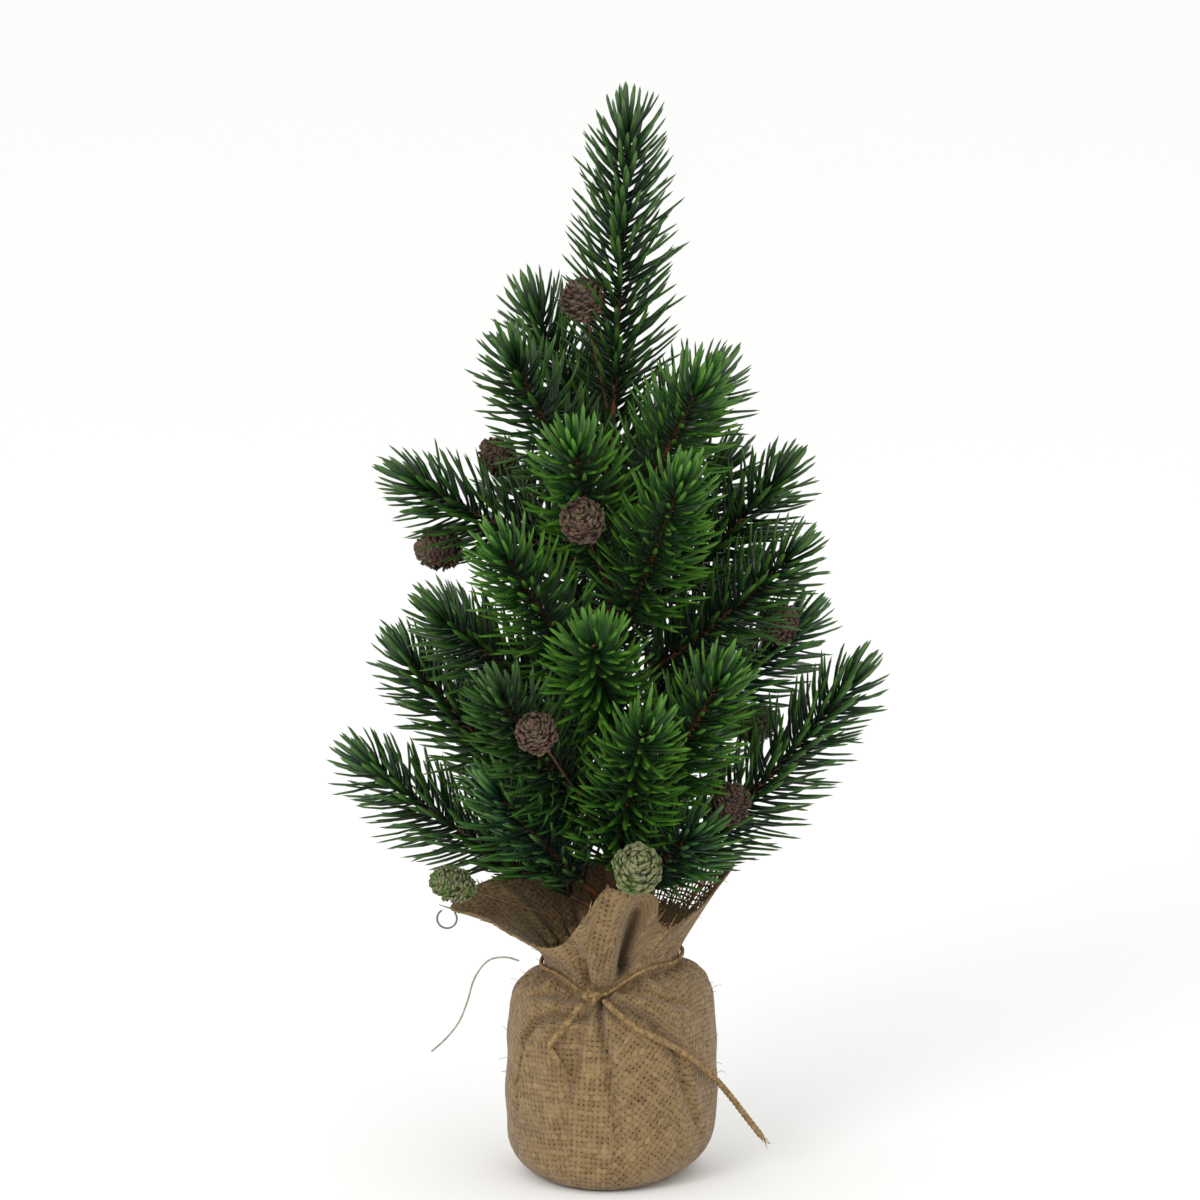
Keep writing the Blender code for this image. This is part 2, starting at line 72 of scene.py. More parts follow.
def add_node(tree: bpy.types.NodeTree, kind: str, settings: dict | None = None,
             links: dict | None = None) -> bpy.types.Node:
    """Add a shader node with its settings and its incoming links.

    Args:
        tree: The material's node tree.
        kind: Blender's node type.
        settings: Values by socket index or name; a string key that no socket has sets the
            node's own property, and "stops" fills a colour ramp.
        links: Output sockets by the index or name of the socket that they feed.

    Returns:
        The new node.
    """
    node = tree.nodes.new(kind)
    for key, value in (settings or {}).items():
        if key == "stops":
            ramp = node.color_ramp
            while len(ramp.elements) < len(value):
                ramp.elements.new(0.5)
            for element, (position, colour) in zip(ramp.elements, value):
                element.position = position
                element.color = colour
        elif isinstance(key, int) or key in node.inputs:
            node.inputs[key].default_value = value
        else:
            setattr(node, key, value)
    for key, socket in (links or {}).items():
        tree.links.new(socket, node.inputs[key])
    return node


def start_material(name: str) -> tuple[bpy.types.Material, bpy.types.Node]:
    """Make an empty node material.

    Args:
        name: What the material is.

    Returns:
        The material and its Principled shader.
    """
    material = bpy.data.materials.new(name)
    material.use_nodes = True
    return material, material.node_tree.nodes["Principled BSDF"]


# ------------------------------------------------------------------ finishes


@dataclass(frozen=True)
class NeedleFinish:
    """Moulded polyethylene needles: waxy green, dark at the stem and bright at the tip, partly
    their own colour and partly painted shade at the foot and painted light at the tip.
    """

    name: str
    base: str = "#0a1e09"
    middle: str = "#15350f"
    tip: str = "#3c6420"
    variation_mm: float = 7.0
    roughness: float = 0.42

    def material(self) -> bpy.types.Material:
        """Build the material, which reads the needles' own UV along their length."""
        material, shader = start_material(self.name)
        tree = material.node_tree
        where = add_node(tree, "ShaderNodeUVMap", {"uv_map": "along"})
        split = add_node(tree, "ShaderNodeSeparateXYZ", links={0: where.outputs[0]})
        spot = add_node(tree, "ShaderNodeTexCoord")
        patch = add_node(tree, "ShaderNodeTexNoise",
                         {"Scale": 1 / (self.variation_mm * MM), "Detail": 2.0},
                         {"Vector": spot.outputs["Object"]})
        shift = add_node(tree, "ShaderNodeMapRange",
                         {"From Min": 0.3, "From Max": 0.7, "To Min": -0.16, "To Max": 0.16},
                         {"Value": patch.outputs["Fac"]})
        along = add_node(tree, "ShaderNodeMath", {"operation": "ADD"},
                         {0: split.outputs["Y"], 1: shift.outputs[0]})
        # a mould leaves each needle darker at its foot and thin and yellower at its tip; the
        # ramp adds painted shade at the foot, deep in the sprig, and painted light at the tip
        blend = add_node(tree, "ShaderNodeValToRGB",
                         {"stops": [(0.05, linear(self.base)), (0.50, linear(self.middle)),
                                    (0.98, linear(self.tip))]},
                         {"Fac": along.outputs[0]})
        tree.links.new(blend.outputs["Color"], shader.inputs["Base Color"])
        grain = add_node(tree, "ShaderNodeTexNoise", {"Scale": 1 / (0.9 * MM)},
                         {"Vector": spot.outputs["Object"]})
        relief = add_node(tree, "ShaderNodeBump", {"Strength": 0.15, "Distance": 0.1 * MM},
                          {"Height": grain.outputs["Fac"]})
        tree.links.new(relief.outputs[0], shader.inputs["Normal"])
        shader.inputs["Roughness"].default_value = self.roughness
        shader.inputs["IOR"].default_value = 1.5
        shader.inputs["Subsurface Weight"].default_value = 0.0
        return material


@dataclass(frozen=True)
class StemFinish:
    """Moulded brown stem cover, mottled orange-brown and green where the moulds meet."""

    dark: str = "#33200f"
    light: str = "#6e421c"
    green: str = "#2e3c17"

    def material(self) -> bpy.types.Material:
        """Build the material."""
        material, shader = start_material("moulded_stem_brown")
        tree = material.node_tree
        spot = add_node(tree, "ShaderNodeTexCoord")
        blotch = add_node(tree, "ShaderNodeTexNoise", {"Scale": 1 / (6 * MM), "Detail": 3.0},
                          {"Vector": spot.outputs["Object"]})
        colour = add_node(tree, "ShaderNodeValToRGB",
                          {"stops": [(0.32, linear(self.green)), (0.46, linear(self.dark)),
                                     (0.66, linear(self.light))]},
                          {"Fac": blotch.outputs["Fac"]})
        tree.links.new(colour.outputs["Color"], shader.inputs["Base Color"])
        knobs = add_node(tree, "ShaderNodeTexVoronoi", {"Scale": 1 / (1.6 * MM)},
                         {"Vector": spot.outputs["Object"]})
        relief = add_node(tree, "ShaderNodeBump", {"Strength": 0.5, "Distance": 0.3 * MM},
                          {"Height": knobs.outputs["Distance"]})
        tree.links.new(relief.outputs[0], shader.inputs["Normal"])
        shader.inputs["Roughness"].default_value = 0.6
        return material


@dataclass(frozen=True)
class ConeFinish:
    """Dried woody scales: painted shade in the gaps, paler and dusty on each scale's lip."""

    name: str
    gap: str
    scale: str
    lip: str
    dust: str
    bloom: str
    dust_share: float

    def material(self) -> bpy.types.Material:
        """Build the material, which reads each scale's own UV from foot to lip."""
        material, shader = start_material(self.name)
        tree = material.node_tree
        where = add_node(tree, "ShaderNodeUVMap", {"uv_map": "along"})
        split = add_node(tree, "ShaderNodeSeparateXYZ", links={0: where.outputs[0]})
        # the gap colour at each scale's foot, tucked under the scales above, is painted shade
        woody = add_node(tree, "ShaderNodeValToRGB",
                         {"stops": [(0.10, linear(self.gap)), (0.55, linear(self.scale)),
                                    (0.92, linear(self.lip))]},
                         {"Fac": split.outputs["Y"]})
        spot = add_node(tree, "ShaderNodeTexCoord")
        powder = add_node(tree, "ShaderNodeTexNoise", {"Scale": 1 / (3.0 * MM), "Detail": 5.0},
                          {"Vector": spot.outputs["Object"]})
        cover = add_node(tree, "ShaderNodeMapRange",
                         {"From Min": 0.62 - self.dust_share * 0.35,
                          "From Max": 0.78 - self.dust_share * 0.25},
                         {"Value": powder.outputs["Fac"]})
        dusty = add_node(tree, "ShaderNodeMix", {"data_type": "RGBA", 7: linear(self.dust)},
                         {0: cover.outputs[0], 6: woody.outputs["Color"]})
        flush = add_node(tree, "ShaderNodeTexNoise", {"Scale": 1 / (8.0 * MM), "Detail": 1.0},
                         {"Vector": spot.outputs["Object"]})
        spread = add_node(tree, "ShaderNodeMapRange",
                          {"From Min": 0.48, "From Max": 0.62, "To Max": 0.75},
                          {"Value": flush.outputs["Fac"]})
        flushed = add_node(tree, "ShaderNodeMix", {"data_type": "RGBA", 7: linear(self.bloom)},
                           {0: spread.outputs[0], 6: dusty.outputs[2]})
        tree.links.new(flushed.outputs[2], shader.inputs["Base Color"])
        fibre = add_node(tree, "ShaderNodeTexNoise", {"Scale": 1 / (0.6 * MM), "Detail": 3.0},
                         {"Vector": spot.outputs["Object"]})
        relief = add_node(tree, "ShaderNodeBump", {"Strength": 0.6, "Distance": 0.2 * MM},
                          {"Height": fibre.outputs["Fac"]})
        tree.links.new(relief.outputs[0], shader.inputs["Normal"])
        shader.inputs["Roughness"].default_value = 0.8
        return material


@dataclass(frozen=True)
class BurlapFinish:
    """Plain-woven jute hessian: round hairy yarns with painted shade in the dark gaps between
    them.
    """

    pitch_mm: float = 2.2
    yarn: str = "#846c4a"
    shade: str = "#705939"
    # painted shade for the hollows and holes between the yarns
    gap: str = "#281b0d"
    slub: str = "#947c58"

    def material(self) -> bpy.types.Material:
        """Build the material, which reads the cloth's UV map in metres of flat cloth."""
        material, shader = start_material("woven_jute_hessian")
        tree = material.node_tree

        def calc(operation: str, first: object, second: object = 0.0) -> bpy.types.NodeSocket:
            """Add one sum on sockets or numbers and return its result."""
            node = tree.nodes.new("ShaderNodeMath")
            node.operation = operation
            for place, term in enumerate((first, second)):
                if isinstance(term, (int, float)):
                    node.inputs[place].default_value = term
                else:
                    tree.links.new(term, node.inputs[place])
            return node.outputs[0]

        where = add_node(tree, "ShaderNodeUVMap", {"uv_map": "cloth"})
        wander = add_node(tree, "ShaderNodeTexNoise", {"Scale": 1 / (7 * MM), "Detail": 2.0},
                          {"Vector": where.outputs[0]})
        drift = add_node(tree, "ShaderNodeVectorMath", {"operation": "SCALE", "Scale": 1.5 * MM},
                         {0: wander.outputs["Color"]})
        warped = add_node(tree, "ShaderNodeVectorMath", {"operation": "ADD"},
                          {0: where.outputs[0], 1: drift.outputs[0]})
        yarns = add_node(tree, "ShaderNodeVectorMath",
                         {"operation": "SCALE", "Scale": 1 / (self.pitch_mm * MM)},
                         {0: warped.outputs[0]})
        axes = add_node(tree, "ShaderNodeSeparateXYZ", links={0: yarns.outputs[0]})
        heights = []
        tones = []
        for across, along, start in (("X", "Y", 0.0), ("Y", "X", 1.0)):
            place = axes.outputs[across]
            run = axes.outputs[along]
            number = calc("FLOOR", place)
            offset = calc("SUBTRACT", calc("FRACT", place), 0.5)
            # each yarn is as thick as its own number makes it, as hand-fed jute is
            thick = add_node(tree, "ShaderNodeTexNoise",
                             {"noise_dimensions": "2D", "Scale": 1.0, "Detail": 2.0})
            stretched = add_node(tree, "ShaderNodeCombineXYZ", {2: 0.0},
                                 {0: calc("MULTIPLY", number, 7.31),
                                  1: calc("MULTIPLY", run, 0.22)})
            tree.links.new(stretched.outputs[0], thick.inputs["Vector"])
            half = calc("ADD", 0.22, calc("MULTIPLY", thick.outputs["Fac"], 0.46))
            share = calc("DIVIDE", offset, half)
            dome = calc("SQRT", calc("MAXIMUM", calc("SUBTRACT", 1.0,
                                                     calc("MULTIPLY", share, share)), 0.0))
            phase = calc("MULTIPLY", calc("ADD", calc("ADD", run, number), start), math.pi)
            crimp = calc("ADD", 0.70, calc("MULTIPLY", calc("SINE", phase), 0.30))
            heights.append(calc("MULTIPLY", dome, crimp))
            tones.append(thick.outputs["Fac"])
        # hairs half close some of the holes, so no two holes hold equally dark painted shade
        hairy = add_node(tree, "ShaderNodeTexNoise", {"Scale": 1 / (1.7 * MM), "Detail": 2.0},
                         {"Vector": warped.outputs[0]})
        height = calc("ADD", calc("MAXIMUM", heights[0], heights[1]),
                      calc("MULTIPLY", calc("SUBTRACT", hairy.outputs["Fac"], 0.5), 0.8))
        top = calc("GREATER_THAN", heights[0], heights[1])
        tone = add_node(tree, "ShaderNodeMix", {"data_type": "FLOAT"},
                        {0: top, 2: tones[1], 3: tones[0]})
        shade = add_node(tree, "ShaderNodeValToRGB",
                         {"stops": [(0.22, linear(self.shade)), (0.50, linear(self.yarn)),
                                    (0.80, linear(self.slub))]},
                         {"Fac": tone.outputs[0]})
        # where the weave sinks, between the yarns and where one dips under another, the colour
        # turns to the gap's painted shade
        depth = add_node(tree, "ShaderNodeMapRange", {"From Min": 0.06, "From Max": 0.62},
                         {"Value": height})
        woven = add_node(tree, "ShaderNodeMix", {"data_type": "RGBA", 6: linear(self.gap)},
                         {0: depth.outputs[0], 7: shade.outputs["Color"]})
        tree.links.new(woven.outputs[2], shader.inputs["Base Color"])
        fuzz = add_node(tree, "ShaderNodeTexNoise", {"Scale": 1 / (0.35 * MM), "Detail": 3.0},
                        {"Vector": warped.outputs[0]})
        rough = calc("ADD", height, calc("MULTIPLY", fuzz.outputs["Fac"], 0.22))
        relief = add_node(tree, "ShaderNodeBump", {"Strength": 0.9, "Distance": 0.7 * MM},
                          {"Height": rough})
        tree.links.new(relief.outputs[0], shader.inputs["Normal"])
        shader.inputs["Roughness"].default_value = 0.92
        shader.inputs["Specular IOR Level"].default_value = 0.2
        shader.inputs["Sheen Weight"].default_value = 0.15
        return material


@dataclass(frozen=True)
class JuteFinish:
    """Jute yarn and twine: pale straw fibres that lie along the twist, darker between."""

    name: str = "laid_jute_twine"
    dark: str = "#5c4729"
    light: str = "#9c8058"
    fibre_mm: float = 0.5

    def material(self) -> bpy.types.Material:
        """Build the material."""
        material, shader = start_material(self.name)
        tree = material.node_tree
        spot = add_node(tree, "ShaderNodeTexCoord")
        strand = add_node(tree, "ShaderNodeTexNoise",
                          {"Scale": 1 / (self.fibre_mm * 4 * MM), "Detail": 6.0,
                           "Roughness": 0.7},
                          {"Vector": spot.outputs["Object"]})
        colour = add_node(tree, "ShaderNodeValToRGB",
                          {"stops": [(0.34, linear(self.dark)), (0.62, linear(self.light))]},
                          {"Fac": strand.outputs["Fac"]})
        tree.links.new(colour.outputs["Color"], shader.inputs["Base Color"])
        hair = add_node(tree, "ShaderNodeTexNoise", {"Scale": 1 / (self.fibre_mm * MM)},
                        {"Vector": spot.outputs["Object"]})
        relief = add_node(tree, "ShaderNodeBump", {"Strength": 0.6, "Distance": 0.2 * MM},
                          {"Height": hair.outputs["Fac"]})
        tree.links.new(relief.outputs[0], shader.inputs["Normal"])
        shader.inputs["Roughness"].default_value = 0.85
        shader.inputs["Specular IOR Level"].default_value = 0.25
        return material


@dataclass(frozen=True)
class PaperWrapFinish:
    """Brown paper tape wound up the trunk: a dark line shows at each overlap."""

    tape: str = "#4a3018"
    edge: str = "#2a1a0c"
    pitch_mm: float = 9.0

    def material(self) -> bpy.types.Material:
        """Build the material."""
        material, shader = start_material("wound_paper_tape")
        tree = material.node_tree
        spot = add_node(tree, "ShaderNodeTexCoord")
        axes = add_node(tree, "ShaderNodeSeparateXYZ", links={0: spot.outputs["Object"]})
        turn = add_node(tree, "ShaderNodeMath", {"operation": "ARCTAN2"},
                        {0: axes.outputs["Y"], 1: axes.outputs["X"]})
        turns = add_node(tree, "ShaderNodeMath", {"operation": "DIVIDE", 1: math.tau},
                         {0: turn.outputs[0]})
        climb = add_node(tree, "ShaderNodeMath",
                         {"operation": "MULTIPLY", 1: 1 / (self.pitch_mm * MM)},
                         {0: axes.outputs["Z"]})
        spiral = add_node(tree, "ShaderNodeMath", {"operation": "ADD"},
                          {0: turns.outputs[0], 1: climb.outputs[0]})
        lap = add_node(tree, "ShaderNodeMath", {"operation": "FRACT"}, {0: spiral.outputs[0]})
        colour = add_node(tree, "ShaderNodeValToRGB",
                          {"stops": [(0.02, linear(self.edge)), (0.14, linear(self.tape))]},
                          {"Fac": lap.outputs[0]})
        tree.links.new(colour.outputs["Color"], shader.inputs["Base Color"])
        crease = add_node(tree, "ShaderNodeTexNoise", {"Scale": 1 / (1.5 * MM), "Detail": 3.0},
                          {"Vector": spot.outputs["Object"]})
        step = add_node(tree, "ShaderNodeMath", {"operation": "ADD"},
                        {0: lap.outputs[0], 1: crease.outputs["Fac"]})
        relief = add_node(tree, "ShaderNodeBump", {"Strength": 0.5, "Distance": 0.3 * MM},
                          {"Height": step.outputs[0]})
        tree.links.new(relief.outputs[0], shader.inputs["Normal"])
        shader.inputs["Roughness"].default_value = 0.8
        return material


@dataclass(frozen=True)
class GrainFinish:
    """A plain hard material with the mottle and fine relief that its making leaves."""

    name: str
    dark: str
    light: str
    grain_mm: float
    roughness: float
    metallic: float = 0.0
    relief_mm: float = 0.1

    def material(self) -> bpy.types.Material:
        """Build the material."""
        material, shader = start_material(self.name)
        tree = material.node_tree
        spot = add_node(tree, "ShaderNodeTexCoord")
        grain = add_node(tree, "ShaderNodeTexNoise",
                         {"Scale": 1 / (self.grain_mm * MM), "Detail": 6.0},
                         {"Vector": spot.outputs["Object"]})
        colour = add_node(tree, "ShaderNodeValToRGB",
                          {"stops": [(0.35, linear(self.dark)), (0.65, linear(self.light))]},
                          {"Fac": grain.outputs["Fac"]})
        tree.links.new(colour.outputs["Color"], shader.inputs["Base Color"])
        relief = add_node(tree, "ShaderNodeBump",
                          {"Strength": 0.4, "Distance": self.relief_mm * MM},
                          {"Height": grain.outputs["Fac"]})
        tree.links.new(relief.outputs[0], shader.inputs["Normal"])
        shader.inputs["Roughness"].default_value = self.roughness
        shader.inputs["Metallic"].default_value = self.metallic
        return material


# ------------------------------------------------------------------ mesh helpers


def level(azimuth: float) -> Vector:
    """Return the level unit vector at an azimuth in degrees."""
    angle = math.radians(azimuth)
    return Vector((math.cos(angle), math.sin(angle), 0.0))


def smooth_route(points: tuple, spacing: float) -> list[Vector]:
    """Return points about one spacing apart on a smooth curve through the given ones.

    Args:
        points: The route's own points.
        spacing: Distance between the points returned.

    Returns:
        Points from the first to the last.
    """
    knots = [Vector(point) for point in points]
    ends = [2 * knots[0] - knots[1]] + knots + [2 * knots[-1] - knots[-2]]
    route = [knots[0]]
    for i in range(1, len(ends) - 2):
        before, start, end, after = ends[i - 1:i + 3]
        steps = max(1, round((end - start).length / spacing))
        for step in range(1, steps + 1):
            t = step / steps
            route.append(0.5 * (2 * start + (end - before) * t
                                + (2 * before - 5 * start + 4 * end - after) * t * t
                                + (3 * start - before - 3 * end + after) * t ** 3))
    return route


def route_length(points: list[Vector]) -> float:
    """Return the length of a line through points."""
    return sum((b - a).length for a, b in zip(points, points[1:]))


def add_piece(name: str, mesh_maker: bmesh.types.BMesh, material: bpy.types.Material,
              sharp_degrees: float = 50.0) -> bpy.types.Object:
    """Turn a bmesh into a smooth-shaded piece of the scene.

    Args:
        name: The piece's name.
        mesh_maker: The finished bmesh, which is freed.
        material: Its material.
        sharp_degrees: Edges that bend more than this stay sharp.

    Returns:
        The new object, at the origin.
    """
    mesh = bpy.data.meshes.new(name)
    mesh_maker.to_mesh(mesh)
    mesh_maker.free()
    mesh.shade_smooth()
    mesh.set_sharp_from_angle(angle=math.radians(sharp_degrees))
    mesh.materials.append(material)
    piece = bpy.data.objects.new(name, mesh)
    bpy.context.scene.collection.objects.link(piece)
    return piece


def add_strands(name: str, routes: list[tuple[list[Vector], list[float]]],
                material: bpy.types.Material, resolution: int = 1) -> bpy.types.Object:
    """Make one piece of round strands.

    Args:
        name: The piece's name.
        routes: For each strand, its points and its radius at each.
        material: Its material.
        resolution: Bevel resolution; 1 gives six sides.

    Returns:
        The curve object.
    """
    widest = max(max(radii) for _, radii in routes)
    curve = bpy.data.curves.new(name, "CURVE")
    curve.dimensions = "3D"
    curve.bevel_depth = widest
    curve.bevel_resolution = resolution
    curve.use_fill_caps = True
    for points, radii in routes:
        spline = curve.splines.new("POLY")
        spline.points.add(len(points) - 1)
        for point, position, radius in zip(spline.points, points, radii):
            point.co = (*position, 1.0)
            point.radius = radius / widest
    curve.materials.append(material)
    piece = bpy.data.objects.new(name, curve)
    bpy.context.scene.collection.objects.link(piece)
    return piece


def turned_template(profile: list[tuple[float, float]], sides: int) -> bmesh.types.BMesh:
    """Spin a profile of (radius, height) points into a closed form with UV "along".

    Args:
        profile: Points from the lower pole to the upper pole.
        sides: How many steps the turn has.

    Returns:
        A bmesh whose UV runs from 0 at the foot to 1 at the top.
    """
    form = bmesh.new()
    verts = [form.verts.new((radius, 0.0, height)) for radius, height in profile]
    edges = [form.edges.new(pair) for pair in zip(verts, verts[1:])]
    bmesh.ops.spin(form, geom=verts + edges, axis=(0, 0, 1), cent=(0, 0, 0),
                   angle=math.tau, steps=sides, use_merge=True)
    bmesh.ops.remove_doubles(form, verts=form.verts, dist=1e-7)
    bmesh.ops.recalc_face_normals(form, faces=form.faces)
    low, high = profile[0][1], profile[-1][1]
    layer = form.loops.layers.uv.new("along")
    for face in form.faces:
        for loop in face.loops:
            loop[layer].uv = (0.5, (loop.vert.co.z - low) / (high - low))
    return form


def stamp(mesh_maker: bmesh.types.BMesh, template: bpy.types.Mesh, matrix: Matrix) -> None:
    """Add a copy of a template mesh to a bmesh, moved by a matrix.

    Args:
        mesh_maker: The bmesh that grows.
        template: The mesh to copy, with its UV maps.
        matrix: Where the copy goes.
    """
    before = len(mesh_maker.verts)
    mesh_maker.from_mesh(template)
    mesh_maker.verts.ensure_lookup_table()
    bmesh.ops.transform(mesh_maker, matrix=matrix, verts=mesh_maker.verts[before:])


def saved_template(name: str, form: bmesh.types.BMesh) -> bpy.types.Mesh:
    """Keep a template bmesh as a mesh and free it."""
    mesh = bpy.data.meshes.new(name)
    form.to_mesh(mesh)
    form.free()
    return mesh


def frame_from(side: Vector, up: Vector, forward: Vector, place: Vector,
               size: Vector) -> Matrix:
    """Return the matrix that puts a template's x, y, z on three directions at a place."""
    turn = Matrix((side * size.x, up * size.y, forward * size.z)).transposed().to_4x4()
    return Matrix.Translation(place) @ turn


# ------------------------------------------------------------------ studio


@dataclass(frozen=True)
class Studio:
    """Camera, pale floor, white surroundings and soft lights."""

    elevation: float = 12.0
    distance: float = 4.5
    lens_mm: float = 336.0
    target: tuple[float, float, float] = (-0.0048, 0.0, 0.236)
    floor_size: float = 8.0

    def build(self) -> None:
        """Build the camera, the floor and the lights."""
        self.build_camera()
        self.build_floor()
        self.build_lights()

    def build_camera(self) -> None:
        """Place the camera in front, a little above the tree."""
        tilt = math.radians(self.elevation)
        back = Vector((0.0, -math.cos(tilt), math.sin(tilt)))
        data = bpy.data.cameras.new("studio_camera")
        data.lens = self.lens_mm
        camera = bpy.data.objects.new("studio_camera", data)
        camera.location = Vector(self.target) + back * self.distance
        camera.rotation_euler = (-back).to_track_quat("-Z", "Y").to_euler()
        bpy.context.scene.collection.objects.link(camera)
        bpy.context.scene.camera = camera

    def build_floor(self) -> None:
        """Make the floor that the tree stands on."""
        form = bmesh.new()
        bmesh.ops.create_grid(form, x_segments=2, y_segments=2, size=self.floor_size / 2)
        bmesh.ops.translate(form, verts=form.verts, vec=(0, 0, -0.3 * MM))
        material, shader = start_material("pale_studio_floor")
        shader.inputs["Base Color"].default_value = linear("#fbfbfa")
        shader.inputs["Roughness"].default_value = 0.9
        shader.inputs["Specular IOR Level"].default_value = 0.1
        add_piece("studio_floor", form, material)

    def build_lights(self) -> None:
        """Make the white surroundings, the key light and the fill light."""
        world = bpy.data.worlds.new("white_surroundings")
        world.use_nodes = True
        sky = world.node_tree.nodes["Background"]
        sky.inputs["Color"].default_value = (1.0, 1.0, 1.0, 1.0)
        sky.inputs["Strength"].default_value = 1.0
        bpy.context.scene.world = world
        bpy.context.scene.view_settings.view_transform = "Standard"
        self.add_light("key_softbox", (-0.9, -1.5, 1.1), 0.7, 13.0)
        self.add_light("fill_softbox", (0.8, -1.6, 0.35), 1.0, 5.0)

    def add_light(self, name: str, place: tuple[float, float, float], size: float,
                  power: float) -> None:
        """Add one square soft light that points at the tree.

        Args:
            name: The light's name.
            place: Where it stands.
            size: Side of the square.
            power: Watts.
        """
        data = bpy.data.lights.new(name, "AREA")
        data.size = size
        data.energy = power
        light = bpy.data.objects.new(name, data)
        light.location = place
        aim = Vector((0, 0, 0.22)) - Vector(place)
        light.rotation_euler = aim.to_track_quat("-Z", "Y").to_euler()
        bpy.context.scene.collection.objects.link(light)


# ------------------------------------------------------------------ sprigs

TRUNK_TOP = 0.302
CEMENT_TOP = 0.0517
TRUNK_RADIUS_LOW = 0.004
TRUNK_RADIUS_HIGH = 0.0028
ROOT_GAP = 0.0018
STEM_RADIUS = 0.0015
STALK_RADIUS = 0.0006
STALK_START = 0.011
CLEARANCE = 0.0003


def trunk_radius(height: float) -> float:
    """Return the wrapped trunk's radius at a height."""
    share = (height - CEMENT_TOP) / (TRUNK_TOP - CEMENT_TOP)
    return TRUNK_RADIUS_LOW + (TRUNK_RADIUS_HIGH - TRUNK_RADIUS_LOW) * share


class Tone(Enum):
    """How fresh the green of a sprig's moulding is; the fresh copy is also painted light,
    lighter all over for the sprigs that face the front.
    """

    # painted light: the sprigs that face the front and the key light get this lighter copy of
    # the green
    FRESH_LIT = NeedleFinish("moulded_needles_fresh_lit", base="#0c2608", middle="#1b450f",
                         tip="#4f8020")
    NORMAL = NeedleFinish("moulded_needles_green")
    DEEP = NeedleFinish("moulded_needles_deep", base="#0c2018", middle="#183c20",
                        tip="#43702a")


COLLAR_REST = 0.1205            # height of the cloth's edge that the low needles lie on
SHORTEST_NEEDLE = 0.011


